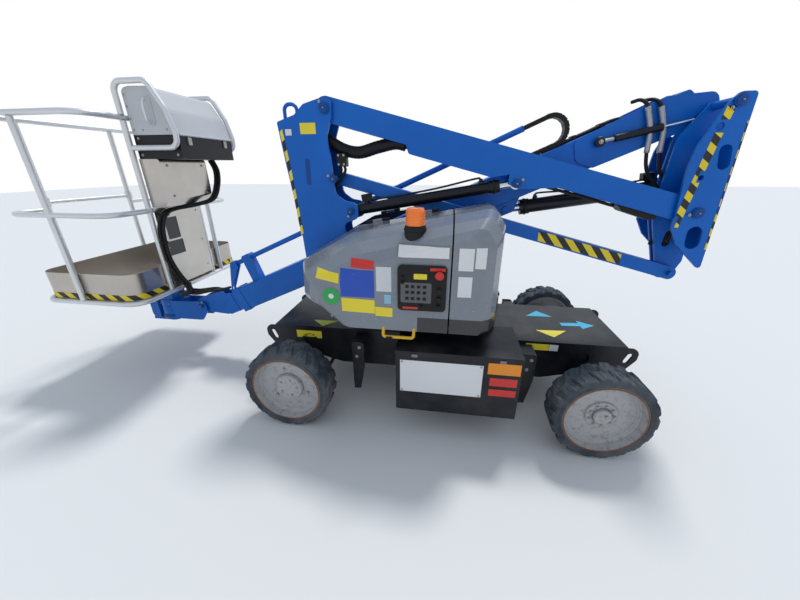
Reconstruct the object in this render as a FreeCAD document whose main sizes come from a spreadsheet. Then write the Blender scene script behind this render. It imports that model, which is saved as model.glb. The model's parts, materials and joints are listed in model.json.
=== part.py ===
"""Articulating boom lift: a self-propelled electric work platform, stowed.

Frame: millimetres, +Z up, origin on the floor under the slew axis, midway
between the axles. -X is the steered front where the platform hangs, -Y is
the side with the ground controls and the secondary boom column.
"""
import FreeCAD, Part

import os
import re
from math import atan2, cos, degrees, hypot, pi, radians, sin, tan
from types import SimpleNamespace

import Sketcher

V = FreeCAD.Vector
os.makedirs("parts", exist_ok=True)
doc = FreeCAD.newDocument("boom_lift")

# Driving dimensions: name, value in millimetres or degrees
SIZES = (
    ("wheelbase", 1880), ("overall_width", 1470), ("tyre_diameter", 560), ("tyre_width", 180),
    ("rim_diameter", 450), ("hub_inset", 62), ("rim_plate", 14), ("lug_depth", 12), ("lug_count", 18),
    ("axle_beam", 90), ("kingpin_inset", 155), ("kingpin_radius", 28), ("steer_arm", 150), ("jaw_plate", 14),
    ("frame_half_length", 1270), ("frame_half_width", 310), ("deck_top", 525), ("deck_plate", 10),
    ("frame_plate", 12), ("frame_bottom", 250), ("frame_end_bottom", 360), ("deck_half_length", 1195),
    ("battery_front", -240), ("battery_rear", 470), ("battery_outer", 700), ("battery_bottom", 205),
    ("battery_top", 618), ("slew_ring_radius", 302), ("slew_ring_top", 632), ("slew_ring_height", 72),
    ("table_plate", 34), ("table_front", -700), ("table_rear", 360), ("table_half_width", 400),
    ("cover_inner", 240), ("cover_outer", 650), ("cover_front", -880), ("cover_rear", 335),
    ("cover_seam", 50), ("cover_bottom", 720), ("cover_shoulder", 1240), ("cover_crown", 1395), ("cover_wall", 8), ("seam_gap", 8),
    ("near_column", -105), ("far_column", 105), ("column_half", 65), ("plate", 15),
    ("fit_gap", 10), ("running_gap", 0.3),
    ("riser_pin_x", -732), ("riser_pin_z", 1905), ("link_pin_x", -707), ("link_pin_z", 1519),
    ("ear_pin_x", -606), ("ear_pin_z", 1322), ("pin_radius", 22), ("small_pin_radius", 16),
    ("secondary_length", 2205), ("secondary_drop", 14.7), ("secondary_depth", 134),
    ("rod_pin_along", 1207), ("rod_pin_below", 107), ("link_depth", 80), ("link_width", 55),
    ("mast_pin_back", 20), ("mast_pin_rise", 545), ("lift_base_back", -40), ("lift_base_rise", 125),
    ("boom_drop", 24), ("boom_depth", 196), ("boom_centre", 33), ("boom_wall", 8),
    ("boom_end", 3400), ("tip_along", 3766), ("tip_up", 122), ("extension_depth", 166), ("extension_width", 100),
    ("carrier_height", 285), ("carrier_radius", 19), ("chain_upper_links", 3), ("extension_stroke", 1200),
    ("extension_overlap", 700), ("chain_loop", 765), ("chain_width", 60), ("chain_pitch", 47.5), ("chain_lap", 4),
    ("lift_rod_along", 1166), ("lift_rod_below", 110),
    ("lift_barrel_radius", 45), ("lift_rod_radius", 26),
    ("secondary_barrel_radius", 34), ("secondary_rod_radius", 21),
    ("rotator_reach", 345), ("rotator_radius", 88), ("rotator_drop", 165), ("rotator_height", 225),
    ("platform_reach", 320), ("platform_rise", 220), ("platform_depth", 800), ("platform_width", 1170),
    ("rail_height", 1212), ("rail_radius", 17), ("mid_rail", 612),
    ("rail_corner", 120), ("post_radius", 18), ("toe_height", 230), ("toe_plate", 3), ("entry_width", 660),
    ("console_depth", 330), ("console_width", 540), ("console_rise", 950), ("console_height", 145),
    ("lid_height", 276), ("hoop_rise", 1410), ("panel_plate", 4), ("hinge_radius", 7),
)

sheet = doc.addObject("Spreadsheet::Sheet", "Sizes")
for row, (alias, number) in enumerate(SIZES, start=1):
    sheet.set(f"A{row}", alias)
    sheet.set(f"B{row}", str(number))
    sheet.setAlias(f"B{row}", alias)
doc.recompute()
S = SimpleNamespace(**{alias: float(sheet.get(alias)) for alias, _ in SIZES})
KNOWN = {alias for alias, _ in SIZES}
NODES = {}


def formula(text):
    """Turns words that name a size into references to the sheet's cells."""
    return re.sub(r"[a-z_]+", lambda m: f"Sizes.{m.group()}" if m.group() in KNOWN else m.group(), str(text))


def bind(item, **properties):
    for name, text in properties.items():
        item.setExpression(name.replace("__", "."), formula(text))
    return item


def place(item, x=0, y=0, z=0, turn=None):
    """Sets where an object stands; each coordinate is a number or a formula in sizes."""
    if turn:
        axis, angle = turn
        item.Placement = FreeCAD.Placement(V(0, 0, 0), FreeCAD.Rotation(axis, angle))
    for letter, text in zip("xyz", (x, y, z)):
        item.setExpression(f"Placement.Base.{letter}", formula(text))
    return item


def keep(node, item):
    """Gives a finished sub-part its name."""
    item.Label = node
    NODES[node] = item
    return item


def box(length, width, height, x=0, y=0, z=0):
    item = bind(doc.addObject("Part::Box", "block"), Length=length, Width=width, Height=height)
    return place(item, x, y, z)


X_AXIS, Y_AXIS, Z_AXIS = V(1, 0, 0), V(0, 1, 0), V(0, 0, 1)
TURNS = {"x": (Y_AXIS, 90), "y": (X_AXIS, -90), "z": (Z_AXIS, 0)}


def rod(radius, height, x=0, y=0, z=0, along="y"):
    """A round bar from (x, y, z) in the positive direction of an axis."""
    item = bind(doc.addObject("Part::Cylinder", "round"), Radius=radius, Height=height)
    return place(item, x, y, z, TURNS[along])


def fuse(*items):
    joined = doc.addObject("Part::MultiFuse", "joined")
    joined.Shapes = list(items)
    joined.Refine = True
    return joined


def cut(base, *tools):
    item = doc.addObject("Part::Cut", "cut")
    item.Base = base
    item.Tool = tools[0] if len(tools) == 1 else fuse(*tools)
    return item


def corner_arcs(points):
    """Lines and arcs of a closed outline; each point is (u, v) or (u, v, corner radius)."""
    count = len(points)
    spots = [V(p[0], p[1], 0) for p in points]
    radii = [p[2] if len(p) > 2 else 0 for p in points]
    starts, ends, arcs = [], [], []
    for k in range(count):
        here, before, after = spots[k], spots[k - 1], spots[(k + 1) % count]
        if radii[k] == 0:
            starts.append(here)
            ends.append(here)
            arcs.append(None)
            continue
        back = (before - here).normalize()
        ahead = (after - here).normalize()
        half = back.getAngle(ahead) / 2
        reach = radii[k] / tan(half)
        centre = here + (back + ahead).normalize() * (radii[k] / sin(half))
        first, last = here + back * reach, here + ahead * reach
        middle = centre + (here - centre).normalize() * radii[k]
        starts.append(first)
        ends.append(last)
        arcs.append(Part.Arc(first, middle, last))
    edges = []
    for k in range(count):
        if arcs[k] is not None:
            edges.append(arcs[k])
        if (starts[(k + 1) % count] - ends[k]).Length > 1e-6:
            edges.append(Part.LineSegment(ends[k], starts[(k + 1) % count]))
    return edges


def circle(u, v, radius):
    return [Part.Circle(V(u, v, 0), V(0, 0, 1), radius)]


def slot(u, v, length, radius, angle=90):
    """A slotted hole of a whole length, its long way at an angle from u."""
    a = radians(angle)
    along, side = V(cos(a), sin(a), 0), V(-sin(a), cos(a), 0)
    middle = V(u, v, 0)
    reach = length / 2 - radius
    one, two = middle + along * reach, middle - along * reach
    return [
        Part.LineSegment(one - side * radius, two - side * radius),
        Part.Arc(two - side * radius, two - along * radius, two + side * radius),
        Part.LineSegment(two + side * radius, one + side * radius),
        Part.Arc(one + side * radius, one + along * radius, one - side * radius),
    ]


PLANES = {"xz": "XZ_Plane", "yz": "YZ_Plane", "xy": "XY_Plane"}


def sketch_on(body, plane, loops):
    sketch = body.newObject("Sketcher::SketchObject", "outline")
    sketch.AttachmentSupport = [(next(f for f in body.Origin.OriginFeatures if f.Role == PLANES[plane]), "")]
    sketch.MapMode = "FlatFace"
    for loop in loops:
        for piece in loop:
            sketch.addGeometry(piece, False)
    return sketch


def slab(loops, thickness, x=0, y=0, z=0, plane="xz", turn=None):
    """A plate with an outline and holes, standing towards +Y, +X or +Z from its place."""
    body = doc.addObject("PartDesign::Body", "plate")
    sketch = sketch_on(body, plane, loops)
    pad = body.newObject("PartDesign::Pad", "pad")
    pad.Profile = sketch
    bind(pad, Length=thickness)
    pad.Reversed = plane == "xz"
    body.Tip = pad
    return place(body, x, y, z, turn)


def turned(outline, x=0, y=0, z=0, turn=None):
    """A solid of revolution: outline points are (radius, height), turned about the own Z axis."""
    body = doc.addObject("PartDesign::Body", "turned")
    sketch = sketch_on(body, "xz", [corner_arcs(outline)])
    spin = body.newObject("PartDesign::Revolution", "spin")
    spin.Profile = sketch
    spin.ReferenceAxis = (sketch, ["V_Axis"])
    spin.Angle = 360
    body.Tip = spin
    return place(body, x, y, z, turn)


def bent_tube(points, radius, bend, closed=False):
    """A round bar along straight runs joined by arcs, as cylinders and ring segments."""
    spots = [V(*p) for p in points]
    count = len(spots)
    starts, ends, pieces = [], [], []
    for k, here in enumerate(spots):
        if not closed and k in (0, count - 1):
            starts.append(here)
            ends.append(here)
            continue
        back = (spots[k - 1] - here).normalize()
        ahead = (spots[(k + 1) % count] - here).normalize()
        half = back.getAngle(ahead) / 2
        centre = here + (back + ahead).normalize() * (bend / sin(half))
        starts.append(here + back * (bend / tan(half)))
        ends.append(here + ahead * (bend / tan(half)))
        disc = Part.Face(Part.Wire([Part.makeCircle(radius, starts[-1], back)]))
        pieces.append(disc.revolve(centre, ahead.cross(back).normalize(), 180 - degrees(2 * half)))
    for k in range(count if closed else count - 1):
        run = starts[(k + 1) % count] - ends[k]
        pieces.append(Part.makeCylinder(radius, run.Length, ends[k], run))
    return pieces[0].fuse(pieces[1:]).removeSplitter()


def shaped(shape):
    """An object that holds a shape made by Part's own functions."""
    item = doc.addObject("Part::Feature", "shape")
    item.Shape = shape
    return item


# Places that several pieces share
HALF_BASE = S.wheelbase / 2
WHEEL_Y = (S.overall_width - S.tyre_width) / 2
WHEEL_R = S.tyre_diameter / 2
HUB_FACE = WHEEL_Y + S.tyre_width / 2 - S.hub_inset - S.rim_plate - S.running_gap
DROP = radians(S.secondary_drop)
SLOPE = radians(S.boom_drop)
KINGPIN_Y = WHEEL_Y - S.kingpin_inset
FAR_PIN_X = S.riser_pin_x + S.secondary_length * cos(DROP)
FAR_PIN_Z = S.riser_pin_z - S.secondary_length * sin(DROP)
LINK_DX = S.link_pin_x - S.riser_pin_x
LINK_DZ = S.link_pin_z - S.riser_pin_z
MAST_PIN_X = FAR_PIN_X + S.mast_pin_back
MAST_PIN_Z = FAR_PIN_Z + S.mast_pin_rise
LIFT_BASE_X = FAR_PIN_X + S.lift_base_back
LIFT_BASE_Z = FAR_PIN_Z + S.lift_base_rise


def near_arm(along, up):
    """Side-view place of a point of the secondary boom: along from its riser pin, up from its axis."""
    x = S.riser_pin_x + along * cos(DROP) + up * sin(DROP)
    return x, S.riser_pin_z - along * sin(DROP) + up * cos(DROP)


def boom(along, up):
    """Side-view place of a point of the primary boom: along from its mast pin to the tip, up from the pin."""
    x = MAST_PIN_X - along * cos(SLOPE) - up * sin(SLOPE)
    return x, MAST_PIN_Z - along * sin(SLOPE) + up * cos(SLOPE)


def boom_spot(along, y, up):
    """The same place with its side offset, as the three coordinates."""
    x, z = boom(along, up)
    return x, y, z


TIP_X, TIP_Z = boom(S.tip_along, S.tip_up)
LIFT_ROD_X, LIFT_ROD_Z = boom(S.lift_rod_along, -S.lift_rod_below)
ROTATOR_X = TIP_X - S.rotator_reach
ROTATOR_LOW = TIP_Z - S.rotator_drop
ROTATOR_HIGH = ROTATOR_LOW + S.rotator_height
PLATFORM_REAR = ROTATOR_X + S.platform_reach
PLATFORM_FLOOR = TIP_Z + S.platform_rise
CONSOLE_LOW = PLATFORM_FLOOR + S.console_rise
CARRIER_REAR = S.chain_loop + S.chain_upper_links * S.chain_pitch
COVER_SLOPE = atan2(S.cover_crown - S.cover_shoulder, S.cover_rear - 60 - S.cover_front - 330)


NEAR_PLATE_Y = "near_column - column_half - fit_gap - plate"
NEAR_INNER_Y = "near_column + column_half + fit_gap"
FAR_INNER_Y = "far_column - column_half - fit_gap - plate"
FAR_PLATE_Y = "far_column + column_half + fit_gap"


def chassis():
    """Welded frame: two side plates with lashing slots, decks, end walls and a centre box."""
    top = S.deck_top - S.deck_plate
    half_outline = [
        (S.frame_half_length, top, 42), (S.frame_half_length - 4, top - 80, 40),
        (S.frame_half_length - 58, S.frame_end_bottom, 24), (S.deck_half_length - 110, S.frame_end_bottom - 15, 20),
        (HALF_BASE - 240, S.frame_bottom, 20),
    ]
    outline = half_outline + [(-x, z, r) for x, z, r in reversed(half_outline)]
    lash_x = S.frame_half_length - 60
    lash_z = top - 72
    holes = [slot(-lash_x, lash_z, 78, 16, 180 - 68), slot(lash_x, lash_z, 78, 16, 68)]
    holes += [circle(side * HALF_BASE, S.frame_end_bottom + 62, 42) for side in (-1, 1)]
    sides = [
        slab([corner_arcs(outline), *holes], "frame_plate", y=y)
        for y in ("frame_half_width - frame_plate", "-frame_half_width")
    ]
    inner = "2 * frame_half_width - 2 * frame_plate"
    deck = slab([corner_arcs([(-S.deck_half_length, -S.frame_half_width), (-S.deck_half_length, S.frame_half_width),
                              (S.deck_half_length, S.frame_half_width), (S.deck_half_length, -S.frame_half_width)])],
                "deck_plate", z="deck_top - deck_plate", plane="xy")
    ends = [
        box("deck_plate", inner, "deck_top - frame_end_bottom - deck_plate", x, "-frame_half_width + frame_plate",
            "frame_end_bottom")
        for x in ("-deck_half_length", "deck_half_length - deck_plate")
    ]
    centre = box("2 * slew_ring_radius + 60", inner, "deck_top - deck_plate - frame_bottom - 20",
                 "-slew_ring_radius - 30", "-frame_half_width + frame_plate", "frame_bottom + 20")
    axle_walls = [
        box("axle_beam + 40", inner, "deck_top - tyre_diameter / 2 - axle_beam / 2 - deck_plate", x,
            "-frame_half_width + frame_plate", "tyre_diameter / 2 + axle_beam / 2")
        for x in ("-wheelbase / 2 - axle_beam / 2 - 20", "wheelbase / 2 - axle_beam / 2 - 20")
    ]
    seats = [
        box("axle_beam + 2 * running_gap", "2 * frame_half_width + 20", "axle_beam + running_gap", x,
            "-frame_half_width - 10", "tyre_diameter / 2 - axle_beam / 2")
        for x in ("-wheelbase / 2 - axle_beam / 2 - running_gap", "wheelbase / 2 - axle_beam / 2 - running_gap")
    ]
    pedestal = rod("slew_ring_radius - 20", "slew_ring_top - slew_ring_height - deck_top + 2", z="deck_top - 2", along="z")
    keep("chassis_frame", cut(fuse(*sides, deck, *ends, centre, *axle_walls, pedestal), *seats))


def outriggers():
    """Steps and struts between the frame and the battery boxes' ends."""
    foot = [(0, 0, 0), (0, 370, 0), (80, 370, 20), (80, 180, 20), (46, 0, 8)]
    reach = 150
    brackets = []
    for x in ("battery_front - 335", "battery_rear + 60"):
        for y in (f"-frame_half_width - {reach}", f"frame_half_width + {reach} - frame_plate"):
            brackets.append(slab([corner_arcs(foot)], "frame_plate", x, y, "frame_bottom - 110"))
    arms = []
    for x in ("battery_front - 335", "battery_rear + 60"):
        for y in (f"-frame_half_width - {reach}", "frame_half_width"):
            arms.append(box("80", reach, "10", x, y, "frame_bottom + 240"))
    keep("frame_brackets", fuse(*brackets, *arms))


def battery_boxes():
    """Steel trays that carry the drive batteries on both sides, with a folded lid edge."""
    length = "battery_rear - battery_front"
    depth = "battery_outer - frame_half_width"
    for node, y, lid_y in (("battery_box_near", "-battery_outer", "-battery_outer - 3"),
                           ("battery_box_far", "frame_half_width", "frame_half_width + 1")):
        tray = box(length, depth, "battery_top - battery_bottom - 22", "battery_front", y, "battery_bottom")
        lid = box(f"{length} + 8", f"{depth} + 2", "24", "battery_front - 4", lid_y, "battery_top - 24")
        keep(node, fuse(tray, lid))


def slew_bearing():
    """Toothed turntable ring bolted on the frame."""
    count = 60
    step = 2 * pi / count
    tooth = ((0.0, -9), (0.22, 0), (0.5, 0), (0.72, -9))
    outline = []
    for k in range(count):
        for share, reach in tooth:
            angle = (k + share) * step
            radius = S.slew_ring_radius + reach
            outline.append((radius * cos(angle), radius * sin(angle)))
    ring_body = slab([corner_arcs(outline), circle(0, 0, S.slew_ring_radius - 70)],
                     "slew_ring_height - running_gap", z="slew_ring_top - slew_ring_height", plane="xy")
    keep("slew_ring", ring_body)


def axles():
    """Front axle beam with kingpin jaws, rear beam with drive hubs."""
    beam_z = "tyre_diameter / 2 - axle_beam / 2"
    jaw = S.kingpin_radius + 22
    beam = box("axle_beam", 2 * KINGPIN_Y - 2 * 60, "axle_beam", "-wheelbase / 2 - axle_beam / 2", 60 - KINGPIN_Y, beam_z)
    jaws = []
    for side in (-1, 1):
        for z in (beam_z, "tyre_diameter / 2 + axle_beam / 2 - jaw_plate"):
            pad = slab([corner_arcs([(-HALF_BASE - jaw, side * (KINGPIN_Y - 70)),
                                     (-HALF_BASE + jaw, side * (KINGPIN_Y - 70)),
                                     (-HALF_BASE + jaw, side * (KINGPIN_Y + jaw), jaw - 1),
                                     (-HALF_BASE - jaw, side * (KINGPIN_Y + jaw), jaw - 1)])],
                       "jaw_plate", z=z, plane="xy")
            jaws.append(pad)
        jaws.append(rod("kingpin_radius", "axle_beam + 20", "-wheelbase / 2", side * KINGPIN_Y,
                        "tyre_diameter / 2 - axle_beam / 2 - 10", "z"))
    keep("front_axle", fuse(beam, *jaws))
    rear = box("axle_beam", "2 * frame_half_width + 160", "axle_beam", "wheelbase / 2 - axle_beam / 2",
               "-frame_half_width - 80", beam_z)
    hubs = []
    for side in (-1, 1):
        near = min(side * (S.frame_half_width + 70), side * HUB_FACE)
        hubs.append(rod("105", HUB_FACE - S.frame_half_width - 70, "wheelbase / 2", near, "tyre_diameter / 2"))
    keep("rear_axle", fuse(rear, *hubs))


def steering():
    """Knuckles that turn on the kingpins, and the tie rod between their arms."""
    low = S.tyre_diameter / 2 - S.axle_beam / 2
    arm_half = 18
    for node, side in (("knuckle_near", -1), ("knuckle_far", 1)):
        barrel = rod("kingpin_radius + 18", "axle_beam - 2 * jaw_plate - 2", "-wheelbase / 2", side * KINGPIN_Y,
                     "tyre_diameter / 2 - axle_beam / 2 + jaw_plate + 1", "z")
        reach = HUB_FACE - KINGPIN_Y
        start = KINGPIN_Y if side > 0 else -HUB_FACE
        spindle = rod("28", reach, "-wheelbase / 2", start, "tyre_diameter / 2")
        flange = rod("70", "24", "-wheelbase / 2", HUB_FACE - 24 if side > 0 else -HUB_FACE, "tyre_diameter / 2")
        pin_x, pin_y = -HALF_BASE + S.steer_arm, side * KINGPIN_Y
        arm = slab([corner_arcs([(-HALF_BASE - 20, pin_y - arm_half), (-HALF_BASE - 20, pin_y + arm_half),
                                 (pin_x + arm_half, pin_y + arm_half, arm_half - 2),
                                 (pin_x + arm_half, pin_y - arm_half, arm_half - 2)])],
                   "20", z="tyre_diameter / 2 - 10", plane="xy")
        pin = rod("10", "58", "-wheelbase / 2 + steer_arm", pin_y, "tyre_diameter / 2 - 56", "z")
        bore = rod("kingpin_radius + running_gap", "axle_beam", "-wheelbase / 2", side * KINGPIN_Y, low, "z")
        keep(node, cut(fuse(barrel, spindle, flange, arm, pin), bore))
    bar = rod("13", 2 * KINGPIN_Y - 40, "-wheelbase / 2 + steer_arm", 20 - KINGPIN_Y, "tyre_diameter / 2 - 42")
    ends = (-KINGPIN_Y, KINGPIN_Y)
    eyes = [rod("22", "24", "-wheelbase / 2 + steer_arm", y, "tyre_diameter / 2 - 54", "z") for y in ends]
    bores = [rod("10 + running_gap", "40", "-wheelbase / 2 + steer_arm", y, "tyre_diameter / 2 - 60", "z")
             for y in ends]
    keep("tie_rod", cut(fuse(bar, *eyes), *bores))


def tyre_shape():
    """Solid tyre about its own Z axis: two halves with staggered lugs, each a lofted toothed outline."""
    radius = S.tyre_diameter / 2
    half = S.tyre_width / 2
    count = int(S.lug_count)
    step = 2 * pi / count
    lug = (0.0, 0.62)
    halves = []
    for side in (-1, 1):
        wires = []
        for height, outer in ((0, radius), (half - 14, radius), (half, radius - 12)):
            spots = []
            for k in range(count):
                start = (k + (0.5 if side < 0 else 0)) * step
                for share, reach in ((lug[0], outer), (lug[1], outer), (lug[1] + 0.04, outer - S.lug_depth),
                                     (0.96, outer - S.lug_depth)):
                    angle = start + share * step
                    spots.append(V(reach * cos(angle), reach * sin(angle), side * height))
            wires.append(Part.makePolygon([*spots, spots[0]]))
        halves.append(Part.makeLoft(wires, True, True))
    hole = Part.makeCylinder(S.rim_diameter / 2, S.tyre_width + 20, V(0, 0, -half - 10))
    return halves[0].fuse(halves[1]).removeSplitter().cut(hole)


def wheels():
    """Solid tyres on deep dished rims; the front hubs are wide, the drive hubs have a cap."""
    half = S.tyre_width / 2
    rim = S.rim_diameter / 2
    dish = half - S.hub_inset
    back = dish - S.rim_plate
    tyre = tyre_shape()
    for axle, x in (("front", -HALF_BASE), ("rear", HALF_BASE)):
        for name, side in (("near", -1), ("far", 1)):
            turn = FreeCAD.Rotation(X_AXIS, 90 if side < 0 else -90)
            where = FreeCAD.Placement(V(x, side * WHEEL_Y, WHEEL_R), turn)
            rubber = shaped(tyre)
            rubber.Placement = where
            keep(f"tyre_{axle}_{name}", rubber)
            at = (f"{x}", f"{side} * (overall_width / 2 - tyre_width / 2)", "tyre_diameter / 2")
            spin = (X_AXIS, 90 if side < 0 else -90)
            edge = rim - S.running_gap
            disc = turned([(0, back), (rim - 12, back), (rim - 12, -half + 10), (edge, -half + 10),
                           (edge, half - 4), (rim - 10, half - 4), (rim - 18, dish + 12), (rim - 34, dish),
                           (0, dish)], *at, spin)
            cap_radius, cap_depth = (88, 22) if axle == "front" else (48, 34)
            cap = turned([(0, dish - 2), (cap_radius, dish - 2), (cap_radius, dish + cap_depth - 6),
                          (cap_radius - 6, dish + cap_depth), (0, dish + cap_depth)], *at, spin)
            keep(f"rim_{axle}_{name}", fuse(disc, cap))


def turntable():
    """Slewing base plate with its bulkheads, the black side trays and the fixed halves of the cover hinges."""
    plan = [
        (S.table_front, -150, 60), (S.table_front + 160, -S.table_half_width, 90),
        (S.table_rear, -S.table_half_width, 120), (S.table_rear, S.table_half_width, 120),
        (S.table_front + 160, S.table_half_width, 90), (S.table_front, 150, 60),
    ]
    plate = slab([corner_arcs(plan)], "table_plate", z="slew_ring_top", plane="xy")
    walls = []
    outline = corner_arcs(cover_section(0, S.cover_front, S.cover_rear, S.cover_bottom))
    for y in ("-cover_inner + running_gap", "cover_inner - plate - running_gap"):
        walls.append(slab([outline], "plate", y=y))
        walls.append(box("table_rear - table_front - 200", "plate", "cover_bottom - slew_ring_top", "table_front + 120", y,
                         "slew_ring_top + 4"))
    outer = S.cover_outer - 90
    for side in (-1, 1):
        tray = [(S.cover_front + 130, side * (S.cover_inner - 2)), (S.cover_front + 240, side * outer, 140),
                (S.cover_rear - 50, side * outer, 150), (S.cover_rear - 50, side * (S.cover_inner - 2))]
        walls.append(slab([corner_arcs(tray)], "24", z="cover_bottom - 26", plane="xy"))
    hinges = [shaped(cover_hinge(side, x, True)) for side in (-1, 1) for x in HINGE_PLACES]
    keep("turntable_base", fuse(plate, *walls, *hinges))
    motor = box("250", "150", "240", "table_rear - 330", "-cover_inner - 160", "cover_bottom - 2 + running_gap")
    keep("hydraulic_unit", motor)


HINGE_PLACES = (-420, -110)


def hinge_place(x):
    """Side-view place on the lifting covers' hinge line, which runs just above their upper inner edge."""
    lift = 2 * S.hinge_radius
    rise = (x - S.cover_front - 330) * tan(COVER_SLOPE)
    return x - lift * sin(COVER_SLOPE), S.cover_shoulder + rise + lift * cos(COVER_SLOPE)


def cover_hinge(side, x, fixed):
    """Barrels and leaf of one cover hinge; the fixed half has the two outer barrels."""
    y = side * S.cover_inner
    at_x, at_z = hinge_place(x)
    turn = FreeCAD.Rotation(Y_AXIS, -degrees(COVER_SLOPE))
    pieces = []
    for start, length in (((-75, 44), (31, 44)) if fixed else ((-30, 60),)):
        pieces.append(Part.makeCylinder(S.hinge_radius, length, V(start, 0, 0), X_AXIS))
        low, width = (0.3, 9) if fixed else (-9, 8)
        leaf_y = -side * low if fixed else side * 1
        leaf = Part.makeBox(length, width, 2 * S.hinge_radius + 6, V(start, 0, -2 * S.hinge_radius - 6))
        leaf.translate(V(0, leaf_y if (side < 0) == fixed else leaf_y - width, 0))
        pieces.append(leaf)
    shape = pieces[0].fuse(pieces[1:])
    shape.Placement = FreeCAD.Placement(V(at_x, y, at_z), turn)
    return shape


def riser_outline():
    """The riser's side view: foot, leaning front edge, crown over the top pin, ear for the lift cylinder."""
    foot_z = S.slew_ring_top + S.table_plate
    ear_x, ear_z = S.ear_pin_x, S.ear_pin_z
    return [
        (-700, foot_z), (-915, foot_z + 60, 40), (-948, 1000, 60), (-960, 1210, 300), (-1010, 1590, 400),
        (-1038, 1840, 14), (-923, 1876, 20), (-862, 1930, 30), (S.riser_pin_x - 8, S.riser_pin_z + 57, 30),
        (S.riser_pin_x + 46, S.riser_pin_z + 45, 30), (S.riser_pin_x + 38, S.riser_pin_z - 45, 40),
        (-731, 1755, 60), (-716, 1640, 60), (-702, 1430, 50), (-640, 1385, 60),
        (ear_x + 46, ear_z + 50, 40), (ear_x + 46, ear_z - 46, 40), (-660, ear_z - 78, 40), (-640, 1120, 60),
        (-560, 1000, 60), (-430, foot_z),
    ]


def riser():
    """Fabricated riser: two plates, a striped front flange, the lifting eye and the cylinder ears."""
    outline = riser_outline()
    holes = [circle(S.riser_pin_x, S.riser_pin_z, S.pin_radius), circle(S.link_pin_x, S.link_pin_z, S.small_pin_radius),
             circle(S.ear_pin_x, S.ear_pin_z, S.small_pin_radius)]
    near = slab([corner_arcs(outline), *holes], "plate", y=NEAR_PLATE_Y)
    far = slab([corner_arcs(outline), *holes], "plate", y=NEAR_INNER_Y)
    inner = "2 * column_half + 2 * fit_gap"
    y0 = "near_column - column_half - fit_gap"
    foot_z = S.slew_ring_top + S.table_plate
    flange = slab([corner_arcs([(-1036, 1836), (-1010, 1590, 400), (-960, 1210, 300), (-948, 1000, 60),
                                (-915, foot_z + 60, 0), (-903, foot_z + 62, 0), (-936, 1000, 60), (-948, 1210, 300),
                                (-998, 1590, 400), (-1023, 1828)])], inner, y=y0)
    crown = slab([corner_arcs([(-1034, 1839), (-923, 1874, 0), (-862, 1927), (-835, 1933), (-835, 1921), (-858, 1915),
                               (-917, 1863), (-1026, 1829)])], inner, y=y0)
    back = slab([corner_arcs([(-700, foot_z), (-430, foot_z), (-560, 1000), (-640, 1120), (-652, 1112), (-575, 995),
                              (-455, foot_z + 12), (-700, foot_z + 12)])], inner, y=y0)
    foot = [(-1100, 0), (-850, 0), (-850, 1897), (-923, 1874), (-1034, 1839), (-1100, 1818)]
    below = shaped(Part.Face(Part.makePolygon([V(x, -140, z) for x, z in (*foot, foot[0])])).extrude(V(0, 70, 0)))
    hoop = shaped(bent_tube([(-1022, -105, 1800), (-1022, -105, 1945), (-940, -105, 1945), (-940, -105, 1800)], 11, 36))
    keep("lifting_hoop", cut(hoop, below))
    span = f"{inner} + 2 * plate + 16"
    start = f"{NEAR_PLATE_Y} - 8"
    pins = [
        rod("pin_radius", span, "riser_pin_x", start, "riser_pin_z"),
        rod("small_pin_radius", span, "link_pin_x", start, "link_pin_z"),
        rod("small_pin_radius", span, "ear_pin_x", start, "ear_pin_z"),
    ]
    keep("riser", fuse(near, far, flange, crown, back, *pins))


ROD_COLUMN = 38
EYE_HALF = 27


def secondary_boom():
    """Upper arm of the parallelogram: a box tube with a gusset over the rod pin and a lip along its underside."""
    length = S.secondary_length
    half = S.secondary_depth / 2
    pin_s, pin_t = S.rod_pin_along, -S.rod_pin_below
    eye = S.pin_radius + S.running_gap
    wall = 10

    def local(points):
        return [(near_arm(p[0], p[1]) + tuple(p[2:])) for p in points]

    outline = local([
        (-half, half, half - 1), (length + 60, half, 50), (length + 60, -half, 50), (pin_s + 243, -half, 150),
        (pin_s + 24, pin_t - 26, 40), (pin_s - 46, pin_t - 16, 24), (pin_s - 57, -half, 8), (-half, -half, half - 1),
    ])
    ends = [circle(S.riser_pin_x, S.riser_pin_z, eye), circle(FAR_PIN_X, FAR_PIN_Z, eye)]
    solid = slab([corner_arcs(outline), *ends], "2 * column_half", y="near_column - column_half")
    pocket = slab([corner_arcs(local([(pin_s - 100, -half + 8), (pin_s + 190, -half + 8), (pin_s + 190, pin_t - 90),
                                      (pin_s - 100, pin_t - 90)]))], f"2 * column_half - {2 * wall}",
                  y=f"near_column - column_half + {wall}")
    x, z = near_arm(pin_s, pin_t)
    rod_side = -S.column_half + ROD_COLUMN + EYE_HALF + 4
    stub = rod("small_pin_radius", S.column_half - rod_side, x, S.near_column + rod_side, z)
    boss = rod("small_pin_radius + 8", "8", x, "near_column - column_half - 8", z)
    lips = [slab([corner_arcs(local([(512, -half + 1), (pin_s - 50, -half + 1), (pin_s - 150, -half - 45),
                                     (540, -half - 45, 20)]))], "12", y=y)
            for y in ("near_column - column_half", "near_column + column_half - 12")]
    keep("secondary_boom", fuse(cut(solid, pocket), stub, boss, *lips))


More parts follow.
